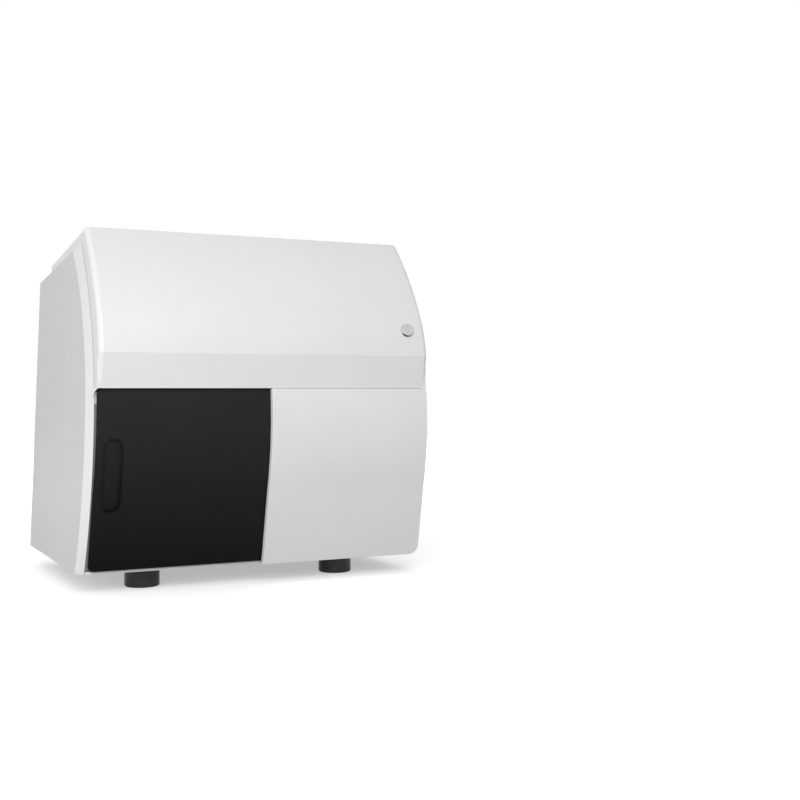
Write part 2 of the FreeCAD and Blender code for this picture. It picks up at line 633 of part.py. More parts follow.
def door():
    body = new_body("door_body")
    door_top = BOW_TOP_UP
    add(body, "door_sheet", flank(-1, "door_left_gap"), across("door_right"),
        bowed("door_setback", "door_skin", "door_low", door_top))
    nearest = facing("-crest_out - " + BEYOND)
    farthest = facing("-rail_low_front")
    top_x = "-(front_half - door_left_gap - (%s - foot_height) * tan(front_lean))" % door_top
    low_x = "-(front_half - door_left_gap - (door_low - foot_height) * tan(front_lean))"
    take(body, "door_top_corner", nearest, farthest, corner_waste(top_x, door_top, "door_corner", -1, 1))
    take(body, "door_low_corner", nearest, farthest, corner_waste(low_x, "door_low", "door_corner", -1, -1))
    window = pill("-pull_left", "pull_up", "pull_round", "pull_height")
    take(body, "door_window", nearest, farthest, window)
    piece(body, "sliding_door")
    door_pull(nearest, farthest)
    door_shoes(body)


def door_pull(nearest, farthest):
    """The cup that closes the door's finger window from behind and follows the door's bow."""
    solids = []
    for name, shrink, depth in (("cup_outside", "seam / 4", "pull_depth + pull_wall"),
                                ("cup_hollow", "pull_wall", "pull_depth")):
        drop = "pull_rim_drop" if name == "cup_outside" else "-pull_rim_drop"
        plate = new_body(name + "_bow")
        add(plate, name + "_plate", across("-pull_left - 2 * pull_round"),
            across("2 * pull_round - pull_left"),
            bowed("door_setback + " + drop, "(%s) - (%s)" % (depth, drop), "door_low", BOW_TOP_UP))
        prism = new_body(name + "_pill")
        add(prism, name + "_prism", nearest, farthest,
            pill("-pull_left", "pull_up", "(pull_round - %s)" % shrink, "(pull_height - 2 * %s)" % shrink))
        solid = document.addObject("Part::Common", name)
        solid.Base = prism
        solid.Tool = plate
        solids.append(solid)
    piece(cut("cup", solids[0], [solids[1]]), "door_pull")


def base():
    half = "front_half - seam / 2"
    plate = block("base_sheet", ("-(%s)" % half, "-base_front", HEM_UP),
                  (half, "rear_out - rear_sheet - 2 * seam", HEM_UP + " + base_thick"))
    holes = [rod("base_hole_%d" % number, "screw_round + screw_slack", (x, y, HEM_UP), "base_thick")
             for number, (x, y) in enumerate(foot_spots())]
    piece(cut("base", plate, holes), "base_plate")
    sill = block("sill", ("-(%s)" % half, "-sill_out", HEM_UP),
                 (half, "-base_front", HEM_UP + " + sill_height"))
    piece(sill, "front_sill")


def foot_spots():
    return [("-foot_left", "-foot_front"), ("foot_right", "-foot_front"), ("-foot_left", "foot_back"),
            ("foot_right", "foot_back")]


def feet():
    names = ("foot_front_left", "foot_front_right", "foot_rear_left", "foot_rear_right")
    screws = []
    for label, (x, y) in zip(names, foot_spots()):
        rubber = new_body(label + "_body")
        outline = [
            ("foot_recess_round", "0"), ("foot_round - foot_bevel", "0"), ("foot_round", "foot_bevel"),
            ("foot_round", "foot_height"), ("screw_round + screw_slack", "foot_height"),
            ("screw_round + screw_slack", "foot_recess"), ("foot_recess_round", "foot_recess"),
        ]
        profile = sketch(rubber, label + "_profile", ("XZ_Plane", "0", "0"), (outline, {}))
        turned = rubber.newObject("PartDesign::Revolution", label + "_turned")
        turned.Profile = profile
        turned.ReferenceAxis = (profile, ["V_Axis"])
        turned.Angle = 360
        rubber.Tip = turned
        place(rubber, (x, y, "0"))
        piece(rubber, label)
        head = rod(label + "_head", "screw_head_round", (x, y, "foot_recess - screw_head"), "screw_head")
        shank = rod(label + "_shank", "screw_round", (x, y, "foot_recess"),
                    "foot_height + base_thick - foot_recess")
        screws.append(join(label + "_screw", [head, shank]))
    piece(group("foot_screw_set", screws), "foot_screws")


# ---------------------------------------------------------------- frame and door rails

def frames():
    outline = [
        ("-frame_front", RAIL_LOW_UP), ("-frame_front", "bay_top"),
        ("-rail_top_front", RAIL_TOP_UP + " + frame_wall"), ("-frame_nose_out", "frame_nose_up"),
        ("-frame_top_out", "frame_top_up"), ("hood_back", "frame_rear_up + 2 * frame_wall"),
        (rear_face("frame_rear_up", "rear_sheet") + " - frame_rear_gap", "frame_rear_up"),
        (rear_face(RAIL_LOW_UP, "rear_sheet") + " - frame_rear_gap", RAIL_LOW_UP),
    ]
    for side, label in ((-1, "side_frame_left"), (1, "side_frame_right")):
        body = new_body(label + "_body")
        add(body, label + "_sheet", across("%d * frame_half" % side),
            across("%d * (frame_half - frame_wall)" % side),
            (outline, {}))
        piece(body, label)
    beam = block("beam", ("frame_wall - frame_half", "-beam_front", RAIL_TOP_UP),
                 ("frame_half - frame_wall", "beam_depth - beam_front", RAIL_TOP_UP + " + beam_thick"))
    piece(beam, "front_crossbeam")


def door_rails():
    top = block("rail_top_bar", ("-rail_half", "-rail_top_front", RAIL_TOP_UP + " - rail_height"),
                ("rail_half", "rail_width - rail_top_front", RAIL_TOP_UP))
    slot = block("rail_top_slot", ("-rail_half - rail_wall", "rail_wall - rail_top_front",
                                   RAIL_TOP_UP + " - rail_height"),
                 ("rail_half + rail_wall", "rail_width - rail_wall - rail_top_front",
                  RAIL_TOP_UP + " - rail_wall"))
    piece(cut("rail_top", top, [slot]), "door_rail_top")
    low = block("rail_low_bar", ("-rail_half", "-rail_low_front", RAIL_LOW_UP),
                ("rail_half", "rail_width - rail_wall - rail_low_front",
                 RAIL_LOW_UP + " + rail_height - rail_wall"))
    groove = block("rail_low_slot", ("-rail_half - rail_wall", "rail_wall - rail_low_front",
                                     RAIL_LOW_UP + " + rail_wall"),
                   ("rail_half + rail_wall", "rail_width - 2 * rail_wall - rail_low_front",
                    RAIL_LOW_UP + " + rail_height"))
    piece(cut("rail_low", low, [groove]), "door_rail_bottom")


def door_shoes(leaf):
    """Gliders seated on the door's inner face, one pair in each rail."""
    top_shoes = []
    low_shoes = []
    arm_top = "(%s - rail_height - shoe_clear)" % RAIL_TOP_UP
    top_out = "(rail_wall + slider_gap - rail_top_front)"
    top_in = "(rail_width - rail_wall - slider_gap - rail_top_front)"
    arm_low = "(%s + rail_height)" % RAIL_LOW_UP
    low_out = "(rail_wall + slider_gap - rail_low_front)"
    low_in = "(rail_width - 2 * rail_wall - slider_gap - rail_low_front)"
    skin_middle = "door_setback + door_skin / 2"
    for number, low_x in enumerate(("(shoe_edge - front_half)", "(-shoe_length - shoe_clear)")):
        high_x = low_x + " + shoe_length"
        arm = block("top_arm_%d" % number, (low_x, skin_middle + " - bow_top_out", arm_top + " - shoe_arm"),
                    (high_x, top_in, arm_top))
        tongue = block("top_tongue_%d" % number, (low_x, top_out, arm_top),
                       (high_x, top_in, RAIL_TOP_UP + " - rail_wall - shoe_clear"))
        top_shoes.append(join("top_shoe_%d" % number, [cut("top_seat_%d" % number, arm, [leaf]), tongue]))
        foot = block("low_arm_%d" % number, (low_x, "%s - %s" % (skin_middle, bow_out(arm_low)), arm_low),
                     (high_x, low_in, arm_low + " + shoe_arm"))
        blade = block("low_tongue_%d" % number, (low_x, low_out, RAIL_LOW_UP + " + rail_wall + slider_gap"),
                      (high_x, low_in, arm_low))
        low_shoes.append(join("low_shoe_%d" % number, [cut("low_seat_%d" % number, foot, [leaf]), blade]))
    piece(group("top_shoe_set", top_shoes), "door_shoes_top")
    piece(group("low_shoe_set", low_shoes), "door_shoes_bottom")


# ---------------------------------------------------------------- tray bay, magazine and lift

BAY_FLOOR_UP = "(foot_height + base_thick + bay_sheet)"
SHELF_UP = "(magazine_low + magazine_wall)"
LIFT_X = "(-magazine_left + (tray_width + 2 * tray_slack + magazine_wall * 2) / 2)"
TRAY_LEFT = "(-magazine_left + magazine_wall + tray_slack)"
TRAY_FRONT = "(-magazine_front + magazine_wall)"
TRANSFER_UP = "(%s + stage_slot * tray_pitch)" % SHELF_UP


def bay_liner():
    """A dark sheet box, open to the door, with a window for trays on its right."""
    outside = block("bay_outside", ("-bay_left", "-bay_front", HEM_UP + " + base_thick"),
                    ("-bay_right", "-bay_back", "bay_top"))
    inside = block("bay_inside", ("bay_sheet - bay_left", "-bay_front - bay_sheet", BAY_FLOOR_UP),
                   ("-bay_right - bay_sheet", "-bay_back - bay_sheet", "bay_top - bay_sheet"))
    window = block("bay_window", ("-bay_right - 2 * bay_sheet", "-window_front",
                                  TRANSFER_UP + " - window_height / 4"),
                   ("bay_sheet - bay_right", "window_run - window_front",
                    TRANSFER_UP + " + window_height * 3 / 4"))
    shaft_hole = rod("bay_shaft_hole", "lift_screw_round + end_gap",
                     (LIFT_X, "-lift_back", "bay_top - 2 * bay_sheet"),
                     "3 * bay_sheet")
    piece(cut("bay", outside, [inside, window, shaft_hole]), "bay_liner")


def magazine():
    """Shelves for the trays, open at the front and on the right."""
    right = "(-magazine_left + 2 * magazine_wall + 2 * tray_slack + tray_width)"
    back = "(%s + tray_depth + tray_slack)" % TRAY_FRONT
    top = "(%s + tray_count * tray_pitch)" % SHELF_UP
    parts = [
        block("magazine_floor", ("-magazine_left", "-magazine_front", "magazine_low"),
              (right, back, SHELF_UP)),
        block("magazine_roof", ("-magazine_left", "-magazine_front", top),
              (right, back, top + " + magazine_wall")),
        block("magazine_side", ("-magazine_left", "-magazine_front", "magazine_low"),
              ("magazine_wall - magazine_left", back, top + " + magazine_wall")),
        block("magazine_back", ("-magazine_left", back, "magazine_low"),
              (right, back + " + magazine_wall", top + " + magazine_wall")),
    ]
    for number in range(1, int(worth("tray_count"))):
        shelf_top = "%s + %d * tray_pitch" % (SHELF_UP, number)
        parts.append(block("magazine_shelf_%d" % number,
                           ("-magazine_left", "-magazine_front", shelf_top + " - magazine_shelf"),
                           (right, back, shelf_top)))
    piece(join("magazine", parts), "tray_magazine")


def tray(name, left, front, low):
    """A slide tray: a plate with a window under each slide."""
    plate = block(name + "_plate", (left, front, low),
                  (left + " + tray_width", front + " + tray_depth", low + " + tray_thick"))
    inset = "(tray_depth - slide_length) / 2 + tray_rim"
    windows = []
    for number in range(int(worth("slide_count"))):
        slide_left = slide_spot(left, number)
        windows.append(block("%s_window_%d" % (name, number),
                             (slide_left + " + tray_rim / 2", "%s + %s" % (front, inset), low + " - " + PAST),
                             (slide_left + " + slide_width - tray_rim / 2",
                              "%s + tray_depth - (%s)" % (front, inset),
                              low + " + tray_thick + " + PAST)))
    return cut(name, plate, windows)


def slide_spot(left, number):
    return "(%s + tray_width / 2 + (%d - (slide_count - 1) / 2) * slide_pitch - slide_width / 2)" % (left,
                                                                                                     number)


def slides(name, left, front, low):
    """The glass slides that lie on one tray."""
    start = "(%s + (tray_depth - slide_length) / 2)" % front
    glasses = []
    for number in range(int(worth("slide_count"))):
        slide_left = slide_spot(left, number)
        glasses.append(block("%s_%d" % (name, number), (slide_left, start, low),
                             (slide_left + " + slide_width", start + " + slide_length",
                              low + " + slide_thick")))
    return glasses


def loaded_trays():
    trays = []
    glasses = []
    for number in range(int(worth("tray_count"))):
        if number == int(worth("stage_slot")):
            continue
        low = "(%s + %d * tray_pitch)" % (SHELF_UP, number)
        trays.append(tray("tray_%d" % number, TRAY_LEFT, TRAY_FRONT, low))
        glasses += slides("slide_%d" % number, TRAY_LEFT, TRAY_FRONT, low + " + tray_thick")
    piece(group("stored_trays", trays), "slide_trays")
    piece(group("stored_slides", glasses), "stored_slides")


def lift():
    rods = []
    holes = []
    rod_length = "bay_top - 2 * bay_sheet - foot_height - base_thick"
    nut_middle = "(magazine_low + magazine_wall + (tray_count * tray_pitch) / 2)"
    nut_low = "(%s - lift_nut_height / 2)" % nut_middle
    for number, side in enumerate((-1, 1)):
        spot = "(%s + (%d) * lift_rod_half)" % (LIFT_X, side)
        rods.append(rod("lift_rod_%d" % number, "lift_rod_round", (spot, "-lift_back", BAY_FLOOR_UP),
                        rod_length))
        holes.append(rod("lift_rod_hole_%d" % number, "lift_rod_round + shaft_slack",
                         (spot, "-lift_back", nut_low + " - " + PAST),
                         "lift_nut_height + 2 * " + PAST))
    holes.append(rod("lift_screw_hole", "lift_screw_round + shaft_slack",
                     (LIFT_X, "-lift_back", nut_low + " - " + PAST),
                     "lift_nut_height + 2 * " + PAST))
    front = "(%s + tray_depth + tray_slack + magazine_wall)" % TRAY_FRONT
    nut = block("lift_nut", ("%s - lift_nut_width / 2" % LIFT_X, front, nut_low),
                ("%s + lift_nut_width / 2" % LIFT_X, front + " + lift_nut_depth",
                 nut_low + " + lift_nut_height"))
    piece(group("lift_rods", rods), "lift_guide_rods")
    piece(cut("lift_block", nut, holes), "lift_carriage")
    screw_low = BAY_FLOOR_UP + " + end_gap"
    piece(rod("lift_shaft", "lift_screw_round", (LIFT_X, "-lift_back", screw_low),
              "bay_top - 2 * end_gap - foot_height - base_thick - bay_sheet"), "lift_screw")
    motor = block("lift_motor_block", (LIFT_X + " - motor_side / 2", "-lift_back - motor_side / 2",
                                       "bay_top"),
                  (LIFT_X + " + motor_side / 2", "motor_side / 2 - lift_back", "bay_top + motor_length"))
    cap = rod("lift_motor_cap", "motor_side / 4", (LIFT_X, "-lift_back", "bay_top + motor_length"),
              "base_thick")
    piece(join("lift_drive", [motor, cap]), "lift_motor")


# ---------------------------------------------------------------- stage

STAGE_GUIDE_UP = "(stage_base_up + guide_height)"
LOWER_UP = "(%s + slider_gap)" % STAGE_GUIDE_UP
UPPER_GUIDE_UP = "(%s + carriage_thick)" % LOWER_UP
UPPER_UP = "(%s + guide_height + slider_gap)" % UPPER_GUIDE_UP


def around_stage(half_x, half_y, low, high, name):
    return block(name, ("stage_middle - (%s)" % half_x, "-stage_front - (%s)" % half_y, low),
                 ("stage_middle + (%s)" % half_x, "(%s) - stage_front" % half_y, high))


def stage():
    bench_up = HEM_UP + " + base_thick"
    casting = around_stage("stage_base_half", "stage_base_deep", bench_up, "stage_base_up", "stage_casting")
    well = around_stage("light_well", "light_well", bench_up + " - " + PAST, "stage_base_up + " + PAST,
                        "stage_well")
    piece(cut("stage_foot", casting, [well]), "stage_base")
    guides = []
    cross_guides = []
    for number, side in enumerate((-1, 1)):
        inner = "stage_middle + (%d) * lower_guide_in" % side
        outer = "stage_middle + (%d) * (lower_guide_in + guide_width)" % side
        low_x, high_x = (outer, inner) if side < 0 else (inner, outer)
        guides.append(block("stage_guide_%d" % number,
                            (low_x, "-stage_front - lower_guide_half", "stage_base_up"),
                            (high_x, "lower_guide_half - stage_front", STAGE_GUIDE_UP)))
        near = "(%d) * upper_guide_in - stage_front" % side
        far = "(%d) * (upper_guide_in + guide_width * 3 / 4) - stage_front" % side
        low_y, high_y = (far, near) if side < 0 else (near, far)
        cross_guides.append(block("cross_guide_%d" % number,
                                  ("stage_middle - lower_half", low_y, UPPER_GUIDE_UP),
                                  ("stage_middle + lower_half", high_y, UPPER_GUIDE_UP + " + guide_height")))
    piece(group("stage_guides", guides), "stage_y_guides")
    piece(group("cross_guides", cross_guides), "stage_x_guides")
    lower = around_stage("lower_half", "lower_deep", LOWER_UP, UPPER_GUIDE_UP, "lower_plate")
    lower_hole = around_stage("lower_hole_half", "hole_deep", LOWER_UP + " - " + PAST,
                              UPPER_GUIDE_UP + " + " + PAST, "lower_hole")
    piece(cut("lower_carriage", lower, [lower_hole]), "stage_y_carriage")
    upper_top = "%s + carriage_thick" % UPPER_UP
    upper = around_stage("upper_half", "upper_deep", UPPER_UP, upper_top, "upper_plate")
    upper_hole = around_stage("upper_hole_half", "hole_deep", UPPER_UP + " - " + PAST,
                              "%s + %s" % (upper_top, PAST), "upper_hole")
    bars = []
    for number, side in enumerate((-1, 1)):
        inner = "stage_middle + (%d) * bar_in" % side
        outer = "stage_middle + (%d) * bar_out" % side
        low_x, high_x = (outer, inner) if side < 0 else (inner, outer)
        bars.append(block("tray_bar_%d" % number, (low_x, "-stage_front - tray_depth / 2", upper_top),
                          (high_x, "tray_depth / 2 - stage_front", TRANSFER_UP)))
    carriage = cut("upper_frame", upper, [upper_hole])
    piece(join("upper_carriage", [carriage] + bars), "stage_x_carriage")
    tray_left = "(stage_middle - tray_width / 2)"
    tray_front = "(-stage_front - tray_depth / 2)"
    piece(tray("stage_tray", tray_left, tray_front, TRANSFER_UP), "stage_tray")
    piece(group("stage_glass", slides("stage_slide", tray_left, tray_front, TRANSFER_UP + " + tray_thick")),
          "stage_slides")


def optics():
    bench_up = HEM_UP + " + base_thick"
    piece(around_stage("lamp_half", "lamp_half", bench_up, "lamp_up", "lamp_box"), "lamp_housing")
    lens_top = "(%s - condenser_gap)" % TRANSFER_UP
    centre = ("stage_middle", "-stage_front")
    barrel = rod("condenser_barrel", "condenser_round", centre + ("lamp_up",),
                 "%s - lamp_up - objective_tip" % lens_top)
    nose = rod("condenser_nose", "condenser_round * 2 / 3", centre + ("%s - objective_tip" % lens_top,),
               "objective_tip")
    piece(join("condenser_lens", [barrel, nose]), "condenser")
    piece(block("column", ("stage_middle - column_half", "column_front", bench_up),
                ("stage_middle + column_half", "column_back", "column_up")), "optics_column")
    rail_front = "(column_front - focus_rail_thick)"
    piece(block("focus_bar", ("stage_middle - focus_rail_half", rail_front, "focus_rail_low"),
                ("stage_middle + focus_rail_half", "column_front", "focus_rail_up")), "focus_rail")
    plate_back = "(%s - slider_gap)" % rail_front
    plate = block("head_plate_block", ("stage_middle - head_half", plate_back + " - head_plate", "head_low"),
                  ("stage_middle + head_half", plate_back, "head_up"))
    arm = block("head_arm", ("stage_middle - arm_half", "-arm_front", "head_low"),
                ("stage_middle + arm_half", plate_back + " - head_plate / 2", "head_low + arm_height"))
    piece(join("head", [plate, arm]), "focus_carriage")
    tip_up = "(%s + tray_thick + slide_thick + work_distance)" % TRANSFER_UP
    lens = rod("objective_barrel", "objective_round", centre + (tip_up + " + objective_tip * 2",),
               "head_low - %s - objective_tip * 2" % tip_up)
    cone = document.addObject("Part::Cone", "objective_cone")
    bind(cone, "Radius1", "objective_round / 2")
    bind(cone, "Radius2", "objective_round")
    bind(cone, "Height", "objective_tip * 2")
    place(cone, centre + (tip_up,))
    piece(join("objective_lens", [lens, cone]), "objective")
    piece(rod("tube", "tube_round", centre + ("head_low + arm_height",), "tube_height"), "optical_tube")
    camera_low = "(head_low + arm_height + tube_height)"
    piece(around_stage("camera_half", "camera_half", camera_low, camera_low + " + camera_height",
                       "camera_box"),
          "camera")


# ---------------------------------------------------------------- power button

def button_rod(name, radius, start, finish):
    """A cylinder on the button's axis, between two distances out from the hood's surface."""
    centre_y, centre_z = hood_arc()
    tilt = "asin((button_up - %s) / lower_bend)" % centre_z
    surface = "(%s - sqrt(lower_bend^2 - (button_up - %s)^2))" % (centre_y, centre_z)
    cylinder = document.addObject("Part::Cylinder", name)
    bind(cylinder, "Radius", radius)
    bind(cylinder, "Height", "(%s) - (%s)" % (finish, start))
    turn = FreeCAD.Rotation(FreeCAD.Vector(1, 0, 0), 90 - worth(tilt))
    place(cylinder, ("button_right", "%s - (%s) * cos(%s)" % (surface, start, tilt),
                     "button_up + (%s) * sin(%s)" % (start, tilt)), turn)
    bind(cylinder, "Placement.Rotation.Angle", "90 deg - %s" % tilt)
    return cylinder


def power_button():
    cap = button_rod("button_cap", "button_round", "button_proud - button_length", "button_proud")
    floor = "(switch_floor - switch_setback - switch_depth)"
    stem = button_rod("button_stem", "stem_round", floor + " + button_travel + slider_gap", "0")
    piece(join("button", [cap, stem]), "power_button")
    shell = button_rod("switch_shell", "switch_round", "-(switch_setback + switch_depth)", "-switch_setback")
    bore = button_rod("switch_bore", "button_round + button_slack", floor, "switch_setback")
    piece(cut("switch", shell, [bore]), "button_switch")


# ---------------------------------------------------------------- rear fittings and electronics

def rear_fittings():
    face = "(rear_limit - flange_thick)"
    middle = "-inlet_left"
    body = block("inlet_body",
                 (middle + " - inlet_half + fitting_wall", "rear_limit - inlet_depth",
                  "mains_up - inlet_tall + fitting_wall"),
                 (middle + " + inlet_half - fitting_wall", face, "mains_up + inlet_tall - fitting_wall"))
    lip = block("inlet_flange", (middle + " - inlet_half", face, "mains_up - inlet_tall"),
                (middle + " + inlet_half", "rear_limit", "mains_up + inlet_tall"))
    hollow = block("inlet_hollow",
                   (middle + " - inlet_half / 2", "rear_limit - inlet_reach", "mains_up - inlet_tall / 2"),
                   (middle + " + inlet_half / 2", "rear_limit + " + PAST, "mains_up + inlet_tall / 2"))
    shell = cut("inlet_shell", join("inlet_solid", [body, lip]), [hollow])
    pins = [rod("inlet_pin_%d" % number, "pin_round",
                ("(%d) * pin_spread - inlet_left" % spot, "rear_limit - inlet_reach - fitting_wall",
                 "mains_up"),
                "pin_length", "y")
            for number, spot in enumerate((-1, 0, 1))]
    piece(join("inlet", [shell] + pins), "power_inlet")

    plate = block("port_sheet", ("-plate_left - plate_half", face, "mains_up - plate_tall"),
                  ("plate_half - plate_left", "rear_limit", "mains_up + plate_tall"))
    box = block("port_box",
                ("port_box_in - plate_left - plate_half", "rear_limit - port_depth",
                 "mains_up + port_box_in - plate_tall"),
                ("plate_half - plate_left - port_box_in", face, "mains_up + plate_tall - port_box_in"))
    sockets = []
    for number, spot in enumerate((-1, 0, 1)):
        socket_middle = "(%d) * port_spread - plate_left" % spot
        sockets.append(block("port_%d" % number,
                             (socket_middle + " - port_width / 2", "rear_limit - port_depth + fitting_wall",
                              "mains_up - port_height / 2"),
                             (socket_middle + " + port_width / 2", "rear_limit + " + PAST,
                              "mains_up + port_height / 2")))
    piece(cut("ports", join("port_solid", [plate, box]), sockets), "data_ports")
    mains_switch(face)


def mains_switch(face):
    """The rocker that turns the mains on, in its frame."""
    outer = block("rocker_body",
                  ("fitting_wall - rocker_left - rocker_frame_half", "rear_limit - rocker_frame_depth",
                   "mains_up + fitting_lip - rocker_frame_tall"),
                  ("rocker_frame_half - fitting_wall - rocker_left", face,
                   "mains_up + rocker_frame_tall - fitting_lip"))
    rim = block("rocker_flange", ("-rocker_left - rocker_frame_half", face, "mains_up - rocker_frame_tall"),
                ("rocker_frame_half - rocker_left", "rear_limit", "mains_up + rocker_frame_tall"))
    window = block("rocker_window_cut",
                   ("-rocker_left - rocker_half - seam", "rear_limit - rocker_frame_depth + fitting_wall",
                    "mains_up - rocker_window"),
                   ("rocker_half + seam - rocker_left", "rear_limit + " + PAST, "mains_up + rocker_window"))
    piece(cut("rocker_frame", join("rocker_solid", [outer, rim]), [window]), "rocker_frame")
    rocker = block("rocker_block", ("-rocker_half", "-rocker_face", "-rocker_tall"),
                   ("rocker_half", "rocker_face", "rocker_tall"))
    pivot = ("-rocker_left", "rear_limit - rocker_pivot_in", "mains_up")
    piece(turned("rocker_tilted", rocker, (-1, 0, 0), "rocker_tilt", pivot), "mains_rocker")


def turned(name, thing, axis, angle, spot=("0", "0", "0")):
    """The thing turned about an axis through its own origin, then moved to a spot."""
    holder = group(name, [thing])
    place(holder, spot, FreeCAD.Rotation(FreeCAD.Vector(*axis), worth(angle)))
    bind(holder, "Placement.Rotation.Angle", angle)
    return holder


def fan():
    back = "(%s - seam / 4)" % rear_face("fan_up + fan_half", "rear_sheet")
    front = "(%s - fan_depth)" % back
    frame = block("fan_square", ("fan_right - fan_half", front, "fan_up - fan_half"),
                  ("fan_right + fan_half", back, "fan_up + fan_half"))
    bore = rod("fan_bore_cut", "fan_bore", ("fan_right", "%s - %s" % (front, PAST), "fan_up"),
               "fan_depth + 2 * " + PAST, "y")
    ring = cut("fan_ring", frame, [bore])
    spokes = [
        block("fan_spoke_flat", ("fan_right - fan_bore - blade_thick / 2", front, "fan_up - blade_thick"),
              ("fan_right + fan_bore + blade_thick / 2", front + " + blade_thick", "fan_up + blade_thick")),
        block("fan_spoke_upright", ("fan_right - blade_thick", front, "fan_up - fan_bore - blade_thick / 2"),
              ("fan_right + blade_thick", front + " + blade_thick", "fan_up + fan_bore + blade_thick / 2")),
        rod("fan_motor", "fan_hub", ("fan_right", front, "fan_up"), "2 * blade_thick", "y"),
    ]
    piece(join("fan_housing", [ring] + spokes), "fan_frame")
    hub_front = "(%s + 2 * blade_thick + end_gap)" % front
    hub_length = "(fan_depth - 3 * blade_thick - end_gap)"
    wheel_middle = ("fan_right", "%s + %s / 2" % (hub_front, hub_length), "fan_up")
    parts = [rod("fan_hub_cap", "fan_hub", ("fan_right", hub_front, "fan_up"), hub_length, "y")]
    for number in range(int(worth("fan_blades"))):
        blade = block("fan_blade_%d" % number, ("-blade_thick / 2", "-blade_reach / 2", "fan_hub / 2"),
                      ("blade_thick / 2", "blade_reach / 2", "fan_bore - fan_tip_gap"))
        twisted = turned("fan_twist_%d" % number, blade, (0, 0, 1), "blade_twist")
        parts.append(turned("fan_spin_%d" % number, twisted, (0, 1, 0), "%d * 360 deg / fan_blades" % number,
                            wheel_middle))
    piece(join("fan_wheel", parts), "fan_rotor")


def electronics():
    bench_up = HEM_UP + " + base_thick"
    piece(block("supply", ("-supply_left", "supply_front", bench_up),
                ("supply_width - supply_left", "supply_front + supply_depth", bench_up + " + supply_height")),
          "power_supply")
    piece(block("board", ("-board_left", "board_front", "board_up"),
                ("board_width - board_left", "board_front + board_depth", "board_up + board_thick")),
          "control_board")
    posts = []
    for number, (x, y) in enumerate((("post_in", "post_in"), ("board_width - post_in", "post_in"),
                                     ("post_in", "board_depth - post_in"),
                                     ("board_width - post_in", "board_depth - post_in"))):
        posts.append(rod("board_post_%d" % number, "post_round",
                         ("%s - board_left" % x, "board_front + %s" % y, bench_up),
                         "board_up - foot_height - base_thick"))
    piece(group("board_posts", posts), "board_standoffs")


def build():
    hood()
    side_cover(-1, "side_cover_left")
    side_cover(1, "side_cover_right")
    edge_strip()
    rear_cover()
    front_panel()
    door()
    base()
    feet()
    frames()
    rear_posts()
    door_rails()
    bay_liner()
    magazine()
    loaded_trays()
    lift()
    stage()
    optics()
    power_button()
    rear_fittings()
    fan()
    electronics()


def check():
    """Stops if any object failed or any piece is empty or broken."""
    for thing in document.Objects:
        if "Invalid" in thing.State or "Error" in thing.State:
            raise RuntimeError("%s failed: %s" % (thing.Name, thing.State))
    for thing in PIECES:
        if thing.Shape.isNull() or not thing.Shape.isValid() or not thing.Shape.Solids:
            raise RuntimeError("%s is not a sound solid" % thing.Label)


def write():
    os.makedirs("parts", exist_ok=True)
    for thing in PIECES:
        thing.Shape.exportStep("parts/%s.step" % thing.Label)
        box = thing.Shape.BoundBox
        print("%-20s %2d solids %12.1f mm3  x %7.1f %7.1f  y %7.1f %7.1f  z %6.1f %6.1f" % (
            thing.Label, len(thing.Shape.Solids), thing.Shape.Volume,
            box.XMin, box.XMax, box.YMin, box.YMax, box.ZMin, box.ZMax))


build()
document.recompute()
check()
write()
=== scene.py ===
"""A benchtop slide scanner: white cabinet, curved hood, black sliding door and the works inside."""

import json
import math

import bmesh
import bpy
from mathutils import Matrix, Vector


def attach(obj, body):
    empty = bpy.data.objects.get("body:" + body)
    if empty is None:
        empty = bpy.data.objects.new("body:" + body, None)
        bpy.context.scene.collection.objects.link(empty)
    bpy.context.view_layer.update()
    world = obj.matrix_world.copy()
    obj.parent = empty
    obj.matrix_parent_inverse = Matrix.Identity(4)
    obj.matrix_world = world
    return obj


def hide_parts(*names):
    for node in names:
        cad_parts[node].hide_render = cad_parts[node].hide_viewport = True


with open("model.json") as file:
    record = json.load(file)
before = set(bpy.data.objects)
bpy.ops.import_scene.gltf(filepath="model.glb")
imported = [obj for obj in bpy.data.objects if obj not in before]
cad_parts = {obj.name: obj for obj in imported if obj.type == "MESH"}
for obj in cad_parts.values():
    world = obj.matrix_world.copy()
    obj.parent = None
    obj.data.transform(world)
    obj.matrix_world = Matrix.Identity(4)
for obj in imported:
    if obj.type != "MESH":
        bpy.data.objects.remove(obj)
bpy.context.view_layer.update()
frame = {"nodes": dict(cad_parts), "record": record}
nodes = frame["nodes"]
slot_of = {part["node"]: part["material_slot"] for part in frame["record"]["subparts"]}

# Places and sizes that more than one piece uses, in metres, with the origin on the bench.
DOOR_CORNER_X, DOOR_CORNER_UP, DOOR_CORNER_RADIUS = -0.255, 0.2905, 0.0115
MAGAZINE_X = -0.139


# ---------------------------------------------------------------- shared effects

def new_group(name, inputs, outputs):
    """An empty node group with its sockets: (name, kind, value) going in and (name, kind) coming out."""
    tree = bpy.data.node_groups.new(name, "ShaderNodeTree")
    for label, kind, value in inputs:
        socket = tree.interface.new_socket(label, in_out="INPUT", socket_type=kind)
        socket.default_value = value
    for label, kind in outputs:
        tree.interface.new_socket(label, in_out="OUTPUT", socket_type=kind)
    return tree, tree.nodes.new("NodeGroupInput"), tree.nodes.new("NodeGroupOutput")


def noise_at(tree, coordinates, scale, detail, roughness=0.5):
    """A cloudy pattern, whose scale is a number or a socket."""
    noise = tree.nodes.new("ShaderNodeTexNoise")
    noise.inputs["Detail"].default_value = detail
    noise.inputs["Roughness"].default_value = roughness
    tree.links.new(coordinates, noise.inputs["Vector"])
    if isinstance(scale, (int, float)):
        noise.inputs["Scale"].default_value = scale
    else:
        tree.links.new(scale, noise.inputs["Scale"])
    return noise.outputs["Fac"]


